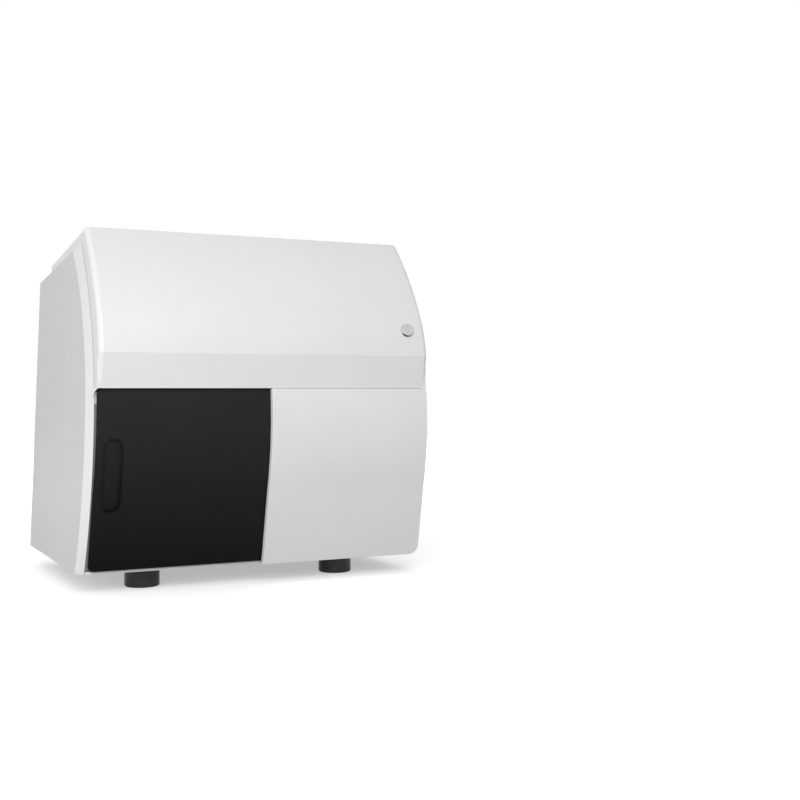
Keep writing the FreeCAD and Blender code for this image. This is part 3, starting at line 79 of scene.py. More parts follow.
def spread(tree, value, low, high, to_low, to_high):
    """The value stretched from one range to another and held inside it."""
    stretch = tree.nodes.new("ShaderNodeMapRange")
    tree.links.new(value, stretch.inputs["Value"])
    for label, bound in (("From Min", low), ("From Max", high), ("To Min", to_low), ("To Max", to_high)):
        if isinstance(bound, (int, float)):
            stretch.inputs[label].default_value = bound
        else:
            tree.links.new(bound, stretch.inputs[label])
    return stretch.outputs["Result"]


def swing(tree, pattern, reach):
    """A noise pattern, most of which lies between 0.3 and 0.7, brought to between -reach and reach."""
    return spread(tree, pattern, 0.3, 0.7, -reach, reach)


def calc(tree, operation, first, second):
    """One step of arithmetic between two sockets or numbers."""
    step = tree.nodes.new("ShaderNodeMath")
    step.operation = operation
    for index, value in enumerate((first, second)):
        if isinstance(value, (int, float)):
            step.inputs[index].default_value = value
        else:
            tree.links.new(value, step.inputs[index])
    return step.outputs["Value"]


def tinted(tree, colour, factor):
    """The colour made lighter or darker by a factor."""
    product = tree.nodes.new("ShaderNodeVectorMath")
    product.operation = "SCALE"
    tree.links.new(colour, product.inputs[0])
    tree.links.new(factor, product.inputs["Scale"])
    return product.outputs["Vector"]


def object_coordinates(tree):
    return tree.nodes.new("ShaderNodeTexCoord").outputs["Object"]


def along(tree, vector, axis):
    """One axis of a vector."""
    parts = tree.nodes.new("ShaderNodeSeparateXYZ")
    tree.links.new(vector, parts.inputs["Vector"])
    return parts.outputs[axis]


def facing(tree, axis):
    """How far a surface turns towards an axis of its piece, from -1 to 1."""
    return along(tree, tree.nodes.new("ShaderNodeTexCoord").outputs["Normal"], axis)


def raise_surface(tree, height, result):
    """Puts a height in metres out as the group's normal."""
    bump = tree.nodes.new("ShaderNodeBump")
    bump.inputs["Strength"].default_value = 1.0
    bump.inputs["Distance"].default_value = 1.0
    tree.links.new(height, bump.inputs["Height"])
    tree.links.new(bump.outputs["Normal"], result.inputs["Normal"])


def build_grain():
    """A fine pebbled surface with faint mottling, for moulded plastic, paint and rubber."""
    tree, source, result = new_group("fine_grain", [
        ("Colour", "NodeSocketColor", (0.8, 0.8, 0.8, 1)),
        ("Grain per metre", "NodeSocketFloat", 900.0),
        ("Grain height", "NodeSocketFloat", 0.00002),
        ("Roughness", "NodeSocketFloat", 0.4),
        ("Roughness spread", "NodeSocketFloat", 0.06),
        ("Tone spread", "NodeSocketFloat", 0.03),
    ], [("Colour", "NodeSocketColor"), ("Roughness", "NodeSocketFloat"), ("Normal", "NodeSocketVector")])
    place = object_coordinates(tree)
    fine = noise_at(tree, place, source.outputs["Grain per metre"], detail=2.0)
    broad = noise_at(tree, place, scale=9.0, detail=3.0)
    middle = noise_at(tree, place, scale=70.0, detail=2.0)
    tone = swing(tree, broad, 1.0)
    factor = calc(tree, "ADD", 1.0, calc(tree, "MULTIPLY", tone, source.outputs["Tone spread"]))
    tree.links.new(tinted(tree, source.outputs["Colour"], factor), result.inputs["Colour"])
    wander = calc(tree, "ADD", swing(tree, middle, 0.5), swing(tree, fine, 0.5))
    shift = calc(tree, "MULTIPLY", wander, source.outputs["Roughness spread"])
    tree.links.new(calc(tree, "ADD", source.outputs["Roughness"], shift), result.inputs["Roughness"])
    raise_surface(tree, calc(tree, "MULTIPLY", fine, source.outputs["Grain height"]), result)
    return tree


def build_brushing():
    """Long fine scratches along one axis, for rolled, ground and brushed metal."""
    tree, source, result = new_group("brushing", [
        ("Colour", "NodeSocketColor", (0.7, 0.7, 0.7, 1)),
        ("Stretch", "NodeSocketVector", (40.0, 900.0, 900.0)),
        ("Depth", "NodeSocketFloat", 0.000008),
        ("Roughness", "NodeSocketFloat", 0.3),
        ("Roughness spread", "NodeSocketFloat", 0.1),
        ("Tone spread", "NodeSocketFloat", 0.06),
    ], [("Colour", "NodeSocketColor"), ("Roughness", "NodeSocketFloat"), ("Normal", "NodeSocketVector")])
    stretch = tree.nodes.new("ShaderNodeVectorMath")
    stretch.operation = "MULTIPLY"
    tree.links.new(object_coordinates(tree), stretch.inputs[0])
    tree.links.new(source.outputs["Stretch"], stretch.inputs[1])
    lines = noise_at(tree, stretch.outputs["Vector"], scale=1.0, detail=4.0, roughness=0.6)
    blotches = noise_at(tree, object_coordinates(tree), scale=25.0, detail=3.0)
    mixed = calc(tree, "ADD", swing(tree, lines, 0.6), swing(tree, blotches, 0.4))
    factor = calc(tree, "ADD", 1.0, calc(tree, "MULTIPLY", mixed, source.outputs["Tone spread"]))
    tree.links.new(tinted(tree, source.outputs["Colour"], factor), result.inputs["Colour"])
    shift = calc(tree, "MULTIPLY", mixed, source.outputs["Roughness spread"])
    tree.links.new(calc(tree, "ADD", source.outputs["Roughness"], shift), result.inputs["Roughness"])
    raise_surface(tree, calc(tree, "MULTIPLY", lines, source.outputs["Depth"]), result)
    return tree


def build_painted_reflection_fade():
    """A painted tone that falls evenly from a high place to a low one: the black door's painted reflection,
    lighter at the top and darker towards the bottom.
    """
    tree, source, result = new_group("painted_reflection_fade", [
        ("Low", "NodeSocketFloat", 0.03),
        ("High", "NodeSocketFloat", 0.3),
        ("Low tone", "NodeSocketFloat", 0.5),
        ("High tone", "NodeSocketFloat", 1.5),
    ], [("Tone", "NodeSocketFloat")])
    height = along(tree, object_coordinates(tree), "Z")
    tone = spread(tree, height, source.outputs["Low"], source.outputs["High"],
                  source.outputs["Low tone"], source.outputs["High tone"])
    tree.links.new(tone, result.inputs["Tone"])
    return tree


def build_facing():
    """A tone that changes where a surface turns even a little towards the front. On the side covers it is
    two-tone paint; on the front panel it is a painted highlight that lightens the walls turned away from the
    front.
    """
    start, full = 0.008, 0.03
    tree, source, result = new_group("front_facing", [
        ("Away tone", "NodeSocketFloat", 0.8),
        ("Front tone", "NodeSocketFloat", 1.0),
    ], [("Tone", "NodeSocketFloat")])
    forward = calc(tree, "MULTIPLY", facing(tree, "Y"), -1.0)
    tone = spread(tree, forward, start, full, source.outputs["Away tone"], source.outputs["Front tone"])
    tree.links.new(tone, result.inputs["Tone"])
    return tree


def build_painted_underside_shade():
    """A painted shade: a tone that falls where a surface turns well towards the ground, darkening the
    button's underside as if in shadow.
    """
    full, start = -0.72, -0.3
    tree, source, result = new_group("painted_underside_shade", [
        ("Under tone", "NodeSocketFloat", 0.3),
        ("Open tone", "NodeSocketFloat", 1.0),
    ], [("Tone", "NodeSocketFloat")])
    tone = spread(tree, facing(tree, "Z"), full, start, source.outputs["Under tone"],
                  source.outputs["Open tone"])
    tree.links.new(tone, result.inputs["Tone"])
    return tree


def build_thread():
    """A screw's thread round an upright axis."""
    tree, source, result = new_group("screw_thread", [
        ("Axis", "NodeSocketVector", (0.0, 0.0, 0.0)),
        ("Lead", "NodeSocketFloat", 0.008),
        ("Starts", "NodeSocketFloat", 4.0),
        ("Depth", "NodeSocketFloat", 0.0006),
    ], [("Normal", "NodeSocketVector")])
    shift = tree.nodes.new("ShaderNodeVectorMath")
    shift.operation = "SUBTRACT"
    tree.links.new(object_coordinates(tree), shift.inputs[0])
    tree.links.new(source.outputs["Axis"], shift.inputs[1])
    parts = tree.nodes.new("ShaderNodeSeparateXYZ")
    tree.links.new(shift.outputs["Vector"], parts.inputs["Vector"])
    turn = calc(tree, "DIVIDE", calc(tree, "ARCTAN2", parts.outputs["Y"], parts.outputs["X"]), 2 * math.pi)
    climb = calc(tree, "DIVIDE", parts.outputs["Z"], source.outputs["Lead"])
    phase = calc(tree, "MULTIPLY", calc(tree, "SUBTRACT", climb, turn), source.outputs["Starts"])
    ridge = calc(tree, "PINGPONG", calc(tree, "MULTIPLY", phase, 2.0), 1.0)
    raise_surface(tree, calc(tree, "MULTIPLY", ridge, source.outputs["Depth"]), result)
    return tree


GRAIN = build_grain()
BRUSHING = build_brushing()
PAINTED_REFLECTION_FADE = build_painted_reflection_fade()
FACING = build_facing()
PAINTED_UNDERSIDE_SHADE = build_painted_underside_shade()
THREAD = build_thread()


# ---------------------------------------------------------------- finishes

def new_material(name, group, values, metallic=0.0, **sockets):
    """A Principled material whose colour, roughness and normal come from a shared effect."""
    material = bpy.data.materials.new(name)
    material.use_nodes = True
    tree = material.node_tree
    shader = tree.nodes["Principled BSDF"]
    effect = tree.nodes.new("ShaderNodeGroup")
    effect.node_tree = group
    for label, value in values.items():
        effect.inputs[label].default_value = value
    tree.links.new(effect.outputs["Colour"], shader.inputs["Base Color"])
    tree.links.new(effect.outputs["Roughness"], shader.inputs["Roughness"])
    tree.links.new(effect.outputs["Normal"], shader.inputs["Normal"])
    shader.inputs["Metallic"].default_value = metallic
    for label, value in sockets.items():
        shader.inputs[label.replace("_", " ")].default_value = value
    return material


def grained(name, colour, roughness, per_metre=900.0, height=0.00002, rough_spread=0.06, tone=0.03,
            **sockets):
    """Plastic, paint, rubber or glass with a fine grain: so many grains a metre, so many metres high."""
    values = {"Colour": (*colour, 1), "Roughness": roughness, "Grain per metre": per_metre,
              "Grain height": height, "Roughness spread": rough_spread, "Tone spread": tone}
    return new_material(name, GRAIN, values, **sockets)


def brushed(name, colour, roughness):
    """Bare metal with fine scratches along X."""
    return new_material(name, BRUSHING, {"Colour": (*colour, 1), "Roughness": roughness}, metallic=1.0)


def white_paint(name, **sockets):
    """The casing's white paint."""
    return grained(name, (0.81, 0.81, 0.812), 0.42, 1400.0, 0.000012, tone=0.012, **sockets)


def button_plastic(name):
    """The button's light grey plastic."""
    return grained(name, (0.62, 0.62, 0.62), 0.35, 1500.0, 0.000006)


def toned(material, group, **values):
    """Lets a finish's tone change over the piece."""
    tree = material.node_tree
    effect = tree.nodes.new("ShaderNodeGroup")
    effect.node_tree = group
    for label, value in values.items():
        effect.inputs[label.replace("_", " ")].default_value = value
    base = tree.nodes["Principled BSDF"].inputs["Base Color"]
    link = base.links[0]
    colour = link.from_socket
    tree.links.remove(link)
    tree.links.new(tinted(tree, colour, effect.outputs["Tone"]), base)
    return material


def threaded(material, axis, lead, starts, depth):
    """Cuts a thread into a finish, round an upright axis."""
    tree = material.node_tree
    thread = tree.nodes.new("ShaderNodeGroup")
    thread.node_tree = THREAD
    for label, value in (("Axis", axis), ("Lead", lead), ("Starts", starts), ("Depth", depth)):
        thread.inputs[label].default_value = value
    tree.links.new(thread.outputs["Normal"], tree.nodes["Principled BSDF"].inputs["Normal"])
    return material


FINISHES = {
    "white_shell": white_paint("white_shell"),
    "white_sheet": grained("white_sheet", (0.70, 0.70, 0.703), 0.48, 1100.0, 0.00002, tone=0.015),
    # Painted reflection: the door's colour is lighter at the top and darker towards the bottom, by height.
    "black_door": toned(
        grained("black_door", (0.0085, 0.0085, 0.0087), 0.38, 1600.0, 0.000004, tone=0.05,
                Specular_IOR_Level=0.1),
        PAINTED_REFLECTION_FADE, Low=0.04, High=0.29, Low_tone=0.12, High_tone=2.1),
    "black_plastic": grained("black_plastic", (0.028, 0.028, 0.031), 0.45, 1200.0, 0.00002, tone=0.06),
    "grey_strip": grained("grey_strip", (0.24, 0.245, 0.25), 0.55, 900.0, 0.00002, tone=0.04),
    "base_paint": grained("base_paint", (0.26, 0.27, 0.29), 0.55, 800.0, 0.00003),
    "foot_rubber": grained("foot_rubber", (0.024, 0.024, 0.025), 0.3, 700.0, 0.00001, tone=0.08,
                           Specular_IOR_Level=0.3),
    "screw_steel": brushed("screw_steel", (0.60, 0.61, 0.62), 0.3),
    "frame_steel": grained("frame_steel", (0.36, 0.38, 0.41), 0.5, 800.0, 0.00003),
    "rail_aluminium": brushed("rail_aluminium", (0.72, 0.73, 0.75), 0.32),
    "glide_nylon": grained("glide_nylon", (0.78, 0.77, 0.72), 0.5),
    "liner_black": grained("liner_black", (0.04, 0.04, 0.045), 0.55),
    "black_anodised": grained("black_anodised", (0.035, 0.035, 0.04), 0.38, 1500.0, 0.000008),
    "tray_aluminium": brushed("tray_aluminium", (0.66, 0.67, 0.69), 0.3),
    "ground_steel": brushed("ground_steel", (0.62, 0.63, 0.65), 0.2),
    "motor_black": grained("motor_black", (0.05, 0.052, 0.057), 0.4),
    "cast_grey": grained("cast_grey", (0.33, 0.34, 0.36), 0.6, 500.0, 0.00006),
    "lens_chrome": brushed("lens_chrome", (0.78, 0.78, 0.80), 0.12),
    "camera_grey": grained("camera_grey", (0.22, 0.24, 0.28), 0.4),
    "grey_button": button_plastic("grey_button"),
    "supply_steel": brushed("supply_steel", (0.56, 0.57, 0.58), 0.4),
    "board_green": grained("board_green", (0.04, 0.20, 0.10), 0.35),
    "post_brass": brushed("post_brass", (0.72, 0.53, 0.25), 0.25),
    "slide_glass": grained("slide_glass", (0.90, 0.96, 0.95), 0.04, 300.0, 0.000001, 0.02, 0.01,
                           Transmission_Weight=1.0, IOR=1.52),
}

# Finishes of single pieces, beside those that the record names.
EXTRAS = {
    "side_paint": toned(white_paint("side_paint", Specular_IOR_Level=0.2), FACING,
                        Away_tone=0.835, Front_tone=1.08),
    # Painted highlight: the panel's walls that turn away from the front are painted lighter than its face.
    "panel_painted_highlight": toned(white_paint("panel_painted_highlight"), FACING, Away_tone=1.16, Front_tone=1.0),
    # Painted shade: the button is painted dark where it turns towards the ground.
    "button_painted_shade": toned(button_plastic("button_painted_shade"), PAINTED_UNDERSIDE_SHADE, Under_tone=0.12, Open_tone=1.0),
    "label_paper": grained("label_paper", (0.78, 0.80, 0.82), 0.7, 1500.0, 0.00001, tone=0.02),
    "stained_tissue": grained("stained_tissue", (0.55, 0.12, 0.38), 0.5, 2500.0, 0.000004, tone=0.4),
    "contact_gold": brushed("contact_gold", (0.83, 0.62, 0.25), 0.25),
    "lift_thread": threaded(brushed("lift_thread", (0.60, 0.61, 0.63), 0.25),
                            axis=(MAGAZINE_X, -0.032967686, 0.0), lead=0.008, starts=4.0, depth=0.0006),
}


# ---------------------------------------------------------------- tools for shaping pieces

def pick(piece):
    """Makes one piece the only one selected."""
    bpy.ops.object.select_all(action="DESELECT")
    piece.select_set(True)
    bpy.context.view_layer.objects.active = piece


def copy_of(node_name, name):
    """A node's shape as a piece of its own, with its triangles merged and its flat faces joined."""
    piece = bpy.data.objects.new(name, nodes[node_name].data.copy())
    bpy.context.scene.collection.objects.link(piece)
    pick(piece)
    bpy.ops.mesh.customdata_custom_splitnormals_clear()
    bpy.ops.object.mode_set(mode="EDIT")
    bpy.ops.mesh.select_all(action="SELECT")
    bpy.ops.mesh.remove_doubles(threshold=0.000002)
    bpy.ops.mesh.dissolve_limited(angle_limit=math.radians(0.3))
    bpy.ops.object.mode_set(mode="OBJECT")
    return piece


def new_piece(name):
    """Names the primitive that was just added."""
    piece = bpy.context.object
    piece.name = name
    piece.data.name = name
    return piece


def new_block(name, centre, size):
    """A box of a size, round its centre."""
    bpy.ops.object.select_all(action="DESELECT")
    bpy.ops.mesh.primitive_cube_add(size=1, location=centre)
    block = new_piece(name)
    block.scale = size
    return block


def block_between(name, low, high):
    """A box from its lowest corner to its highest."""
    return new_block(name, [(a + b) / 2 for a, b in zip(low, high)], [b - a for a, b in zip(low, high)])


def rod_along_y(name, radius, length, centre, sides):
    """A round rod that runs from front to back."""
    bpy.ops.object.select_all(action="DESELECT")
    bpy.ops.mesh.primitive_cylinder_add(vertices=sides, radius=radius, depth=length, location=centre,
                                        rotation=(math.radians(90), 0, 0))
    return new_piece(name)


def place_in_mesh(piece):
    """Takes a piece's place, turn and size into its mesh, and leaves its object at the origin."""
    pick(piece)
    bpy.ops.object.transform_apply(location=True, rotation=True, scale=True)


def choose_edges(piece, wanted):
    """Leaves the piece in edit mode with the wanted edges selected.

    An edge is told by its middle, by how many degrees the surface turns there, and by its faces' normals.
    """
    pick(piece)
    bpy.ops.object.mode_set(mode="EDIT")
    bpy.ops.mesh.select_mode(type="EDGE")
    bpy.ops.mesh.select_all(action="DESELECT")
    shape = bmesh.from_edit_mesh(piece.data)
    for edge in shape.edges:
        if len(edge.link_faces) == 2:
            middle = (edge.verts[0].co + edge.verts[1].co) / 2
            normals = [face.normal for face in edge.link_faces]
            if wanted(middle, math.degrees(edge.calc_face_angle(0.0)), normals):
                edge.select_set(True)
    bmesh.update_edit_mesh(piece.data)


def choose_faces(piece, wanted):
    """Leaves the piece in edit mode with the wanted faces selected, told by middle and normal."""
    pick(piece)
    bpy.ops.object.mode_set(mode="EDIT")
    bpy.ops.mesh.select_mode(type="FACE")
    bpy.ops.mesh.select_all(action="DESELECT")
    shape = bmesh.from_edit_mesh(piece.data)
    for face in shape.faces:
        if wanted(face.calc_center_median(), face.normal):
            face.select_set(True)
    bmesh.update_edit_mesh(piece.data)


def round_edges(piece, width, segments, wanted):
    """Rounds the wanted edges, to a width in metres and in so many steps."""
    choose_edges(piece, wanted)
    bpy.ops.mesh.bevel(offset=width, segments=segments, affect="EDGES", profile=0.5, clamp_overlap=True)
    bpy.ops.object.mode_set(mode="OBJECT")


def sharp(turn):
    """Tells a real edge from the small turns within a curved face."""
    return turn > 50


def all_sharp(middle, turn, normals):
    """Every real edge."""
    return sharp(turn)


def on_front(normals):
    """Tells whether one of an edge's faces looks forward."""
    return any(normal.y < -0.8 for normal in normals)


def between_walls(normals):
    """Tells whether an edge stands upright between two walls."""
    return all(abs(normal.z) < 0.5 for normal in normals)


def cut_away(piece, tool):
    """Takes the tool's shape out of a piece, and the tool away."""
    pick(piece)
    cutter = piece.modifiers.new("cut", "BOOLEAN")
    cutter.operation = "DIFFERENCE"
    cutter.object = tool
    bpy.ops.object.modifier_apply(modifier=cutter.name)
    bpy.data.objects.remove(tool)


def joined(pieces, name):
    """Joins pieces into one."""
    bpy.ops.object.select_all(action="DESELECT")
    for piece in pieces:
        piece.select_set(True)
    bpy.context.view_layer.objects.active = pieces[0]
    bpy.ops.object.join()
    return new_piece(name)


def copies_at(piece, places, name):
    """Copies of a piece, each with its own mesh, moved by each place and joined."""
    made = []
    for place in places:
        double = piece.copy()
        double.data = piece.data.copy()
        bpy.context.scene.collection.objects.link(double)
        double.location = place
        made.append(double)
    bpy.data.objects.remove(piece)
    return joined(made, name)


def dress(piece, body, slot_name, *node_names, angle=30):
    """Smooths a finished piece, gives it its finish and hangs it on its body."""
    place_in_mesh(piece)
    bpy.ops.object.shade_smooth_by_angle(angle=math.radians(angle))
    flatter = piece.modifiers.new("flatter", "WEIGHTED_NORMAL")
    flatter.keep_sharp = True
    bpy.ops.object.modifier_apply(modifier=flatter.name)
    piece.data.materials.clear()
    piece.data.materials.append(FINISHES[slot_name])
    if node_names:
        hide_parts(*node_names)
    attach(piece, body)


def settle(piece, body, material, slot_name, *node_names, angle=30):
    """Dresses a piece that has a finish of its own."""
    dress(piece, body, slot_name, *node_names, angle=angle)
    piece.data.materials.clear()
    piece.data.materials.append(material)


# ---------------------------------------------------------------- casing

def side_covers():
    """The flat sides, with a soft round along the rim and finer ones inside it and at back and foot."""
    front_of_back, outside_frame, near_back, near_foot = 0.205, 0.255, 0.2, 0.031
    for side, node_name in ((-1, "side_cover_left"), (1, "side_cover_right")):

        def outer_rim(middle, turn, normals):
            outward = any(side * normal.x > 0.995 for normal in normals)
            return 2 < turn < 60 and outward and middle.y < front_of_back

        def inner_rim(middle, turn, normals):
            inward = any(side * normal.x < -0.995 for normal in normals)
            return turn > 100 and inward and side * middle.x > outside_frame

        def back_and_foot(middle, turn, normals):
            outward = any(side * normal.x > 0.99 for normal in normals)
            return 60 < turn < 100 and outward and (middle.y > near_back or middle.z < near_foot)

        cover = copy_of(node_name, node_name + "_shell")
        round_edges(cover, 0.0026, 5, outer_rim)
        round_edges(cover, 0.0007, 3, inner_rim)
        round_edges(cover, 0.001, 3, back_and_foot)
        settle(cover, "cabinet", EXTRAS["side_paint"], "white_shell", node_name)


def hood_shell():
    """The hood, with fine rounds at its lower edge and button hole, and crisp folds at its band."""
    lip_up, band_up = 0.303, 0.356
    lip_front, band_front, hole_front = -0.2095, -0.205, -0.19
    hood_end, hole_left, hole_right = 0.262, 0.2, 0.25

    def lower_edge(middle, turn, normals):
        downward = any(normal.z < -0.9 for normal in normals)
        upright = any(abs(normal.z) < 0.3 for normal in normals)
        outside = middle.y < lip_front or abs(middle.x) > hood_end
        return turn > 60 and middle.z < lip_up and downward and upright and outside

    def hole_edge(middle, turn, normals):
        forward = any(normal.y < -0.9 for normal in normals)
        return turn > 60 and hole_left < middle.x < hole_right and middle.y < hole_front and forward

    def band_folds(middle, turn, normals):
        return 9 < turn < 25 and middle.y < band_front and lip_up < middle.z < band_up

    hood = copy_of("top_hood", "top_hood_shell")
    round_edges(hood, 0.0004, 3, lower_edge)
    round_edges(hood, 0.0005, 2, hole_edge)
    choose_edges(hood, band_folds)
    bpy.ops.mesh.mark_sharp()
    bpy.ops.object.mode_set(mode="OBJECT")
    dress(hood, "cabinet", "white_shell", "top_hood")


def fixed_panel():
    """The white panel: its top closes up to the hood, and its edge beside the door is the roundest."""
    left_edge, top_up, top_lift = 0.001, 0.296, 0.0003
    panel = copy_of("front_panel", "front_panel_shell")
    choose_faces(panel, lambda middle, normal: normal.z > 0.95 and middle.z > top_up)
    bpy.ops.transform.translate(value=(0, 0, top_lift))
    bpy.ops.object.mode_set(mode="OBJECT")
    round_edges(panel, 0.0022, 5, lambda middle, turn, normals:
                sharp(turn) and on_front(normals) and middle.x < left_edge)
    round_edges(panel, 0.0015, 4, lambda middle, turn, normals:
                sharp(turn) and on_front(normals) and middle.x > left_edge and middle.z < top_up)
    round_edges(panel, 0.0003, 2, lambda middle, turn, normals:
                sharp(turn) and on_front(normals) and middle.x > left_edge and middle.z > top_up)
    # The panel's finish paints a highlight on its side walls, lighter than its front face.
    settle(panel, "cabinet", EXTRAS["panel_painted_highlight"], "white_shell", "front_panel")


def corner_rod(radius):
    """A rod through the middle of the round of the door's upper left corner."""
    return rod_along_y("rod", radius, length=0.2, centre=(DOOR_CORNER_X, -0.2, DOOR_CORNER_UP), sides=96)


def round_corner(piece):
    """Rounds the door's upper left corner: a block goes, less a rod that leaves the round."""
    block = block_between("block", (-0.27, -0.24, DOOR_CORNER_UP), (DOOR_CORNER_X, -0.16, 0.33))
    cut_away(block, corner_rod(DOOR_CORNER_RADIUS))
    cut_away(piece, block)


def front_edges(middle, turn, normals):
    """The real edges round a front face."""
    return sharp(turn) and on_front(normals)


def door_leaf():
    """The black door and the cup of its finger recess."""
    leaf = copy_of("sliding_door", "door_leaf")
    round_corner(leaf)
    round_edges(leaf, 0.0013, 4, front_edges)
    # The black door finish paints a reflection on leaf and cup: lighter at the top, darker towards the
    # bottom.
    dress(leaf, "door", "black_door", "sliding_door")
    cup = copy_of("door_pull", "door_pull_cup")
    round_edges(cup, 0.0005, 3, front_edges)
    dress(cup, "door", "black_door", "door_pull")


def edge_strip():
    """The grey strip behind the door's left edge, which ends below the hood."""
    strip = copy_of("door_edge_strip", "door_edge_strip_cut")
    cut_away(strip, block_between("tool", (-0.28, -0.25, 0.2795), (-0.24, -0.10, 0.31)))
    round_edges(strip, 0.0003, 2, all_sharp)
    dress(strip, "cabinet", "grey_strip", "door_edge_strip")


def corner_tab():
    """The white tab under the hood that fills in beside the door's round corner."""
    low, high = (-0.2684, -0.2034, DOOR_CORNER_UP), (-0.2555, -0.1988, 0.3018)
    running_gap = 0.0004
    tab = block_between("corner_tab", low, high)
    cut_away(tab, corner_rod(DOOR_CORNER_RADIUS + running_gap))
    dress(tab, "cabinet", "white_shell")


def power_cap():
    """The power button: its edge rounded and its face dished for a fingertip."""
    cap = copy_of("power_button", "power_button_cap")
    lean = math.radians(18.05)
    outward = Vector((0, -math.cos(lean), math.sin(lean)))
    near_front = max(vertex.co.dot(outward) for vertex in cap.data.vertices) - 0.0002
    choose_faces(cap, lambda middle, normal:
                 normal.dot(outward) > 0.99 and middle.dot(outward) > near_front)
    for ring, sink in ((0.0022, 0.0), (0.0016, 0.0004), (0.0022, 0.0003)):
        bpy.ops.mesh.inset(thickness=ring)
        bpy.ops.transform.translate(value=outward * -sink)
    bpy.ops.object.mode_set(mode="OBJECT")
    round_edges(cap, 0.0016, 4, lambda middle, turn, normals:
                sharp(turn) and middle.dot(outward) > near_front)
    # The button's finish paints shade on its underside.
    settle(cap, "power_button", EXTRAS["button_painted_shade"], "grey_button", "power_button", angle=40)


# ---------------------------------------------------------------- pieces that only lose their sharp edges

# Body, width of the round in metres, nodes.
EDGED = (
    ("cabinet", 0.0006, ("foot_front_left", "foot_front_right", "foot_rear_left", "foot_rear_right")),
    ("cabinet", 0.0004, ("front_sill", "rear_cover", "rocker_frame", "power_inlet", "data_ports", "bay_liner",
                         "front_crossbeam", "door_rail_top", "door_rail_bottom", "lamp_housing", "stage_base",
                         "optics_column", "power_supply", "lift_motor")),
    ("mains_rocker", 0.0008, ("mains_rocker",)),
    ("lift", 0.00025, ("tray_magazine", "slide_trays", "lift_carriage")),
    ("stage_x", 0.0003, ("stage_x_carriage", "stage_tray")),
    ("stage_y", 0.0004, ("stage_y_carriage",)),
    ("focus_head", 0.0006, ("focus_carriage", "camera")),
)


def plain_edges():
    """Rounds every real edge of these nodes a little."""
    for body, width, node_names in EDGED:
        for node_name in node_names:
            piece = copy_of(node_name, node_name + "_edged")
            round_edges(piece, width, 2, all_sharp)
            dress(piece, body, slot_of[node_name], node_name)


# ---------------------------------------------------------------- fittings at the back

def cover_screws():
    """Pan-head screws with a cross in each head, three down each side of the leaning rear cover."""
    half_slot, cross, slot_floor, past_head = 0.0004, 0.0019, 0.0005, 0.002
    head = rod_along_y("screw_head", radius=0.004, length=0.0009, centre=(0, 0.00055, 0), sides=40)
    place_in_mesh(head)
    round_edges(head, 0.0006, 4, lambda middle, turn, normals: sharp(turn) and middle.y > 0.0009)
    for across, up in ((cross, half_slot), (half_slot, cross)):
        cut_away(head, block_between("tool", (-across, slot_floor, -up), (across, past_head, up)))
    screw_x, lowest, pitch, in_a_row = 0.2425, 0.09, 0.165, 3
    cover_low, cover_foot, cover_lean, cover_height = 0.2195, 0.03, 0.0057, 0.4526
    places = []
    for side in (-1, 1):
        for number in range(in_a_row):
            height = lowest + number * pitch
            face = cover_low - (height - cover_foot) * cover_lean / cover_height
            places.append((side * screw_x, face, height))
    heads = copies_at(head, places, "rear_cover_screw_heads")
    dress(heads, "cabinet", "screw_steel", "rear_cover_screws", angle=40)


def inlet_pins():
    """The three round pins in the mains inlet, with rounded tips."""
    pin_pitch, before_tip = 0.007, 0.212
    pin = rod_along_y("pin", radius=0.00168, length=0.0111, centre=(-0.196, 0.2086, 0.11), sides=24)
    place_in_mesh(pin)
    round_edges(pin, 0.0006, 3, lambda middle, turn, normals: sharp(turn) and middle.y > before_tip)
    pins = copies_at(pin, [(step * pin_pitch, 0, 0) for step in (-1, 0, 1)], "mains_inlet_pins")
    dress(pins, "cabinet", "ground_steel")


def port_tongues():
    """A black tongue in each data port, with four gilt contacts under it."""
    ports_x, before_tip, contact_pitch = -0.06, 0.212, 0.0024
    port_offsets = (-0.017, 0, 0.017)
    tongue = new_block("tongue", centre=(ports_x, 0.21355, 0.1113), size=(0.0104, 0.0089, 0.0018))
    place_in_mesh(tongue)
    round_edges(tongue, 0.0003, 2, lambda middle, turn, normals: sharp(turn) and middle.y > before_tip)
    tongues = copies_at(tongue, [(port, 0, 0) for port in port_offsets], "data_port_tongues")
    dress(tongues, "cabinet", "black_plastic")
    contact = new_block("contact", centre=(ports_x, 0.2135, 0.11035), size=(0.0011, 0.0075, 0.0002))
    place_in_mesh(contact)
    round_edges(contact, 0.00006, 2, all_sharp)
    rows = [(port + step * contact_pitch, 0, 0) for port in port_offsets for step in (-1.5, -0.5, 0.5, 1.5)]
    contacts = copies_at(contact, rows, "data_port_contacts")
    settle(contacts, "cabinet", EXTRAS["contact_gold"], "post_brass")


# ---------------------------------------------------------------- slides

def wall_edges(middle, turn, normals):
    """The upright corners of a flat plate."""
    return sharp(turn) and between_walls(normals)


def slide_label():
    """A paper label at a slide's near end."""
    label = new_block("label", centre=(0, 0.0105, 0.00012), size=(0.022, 0.018, 0.00012))
    place_in_mesh(label)
    round_edges(label, 0.0012, 3, wall_edges)
    return label


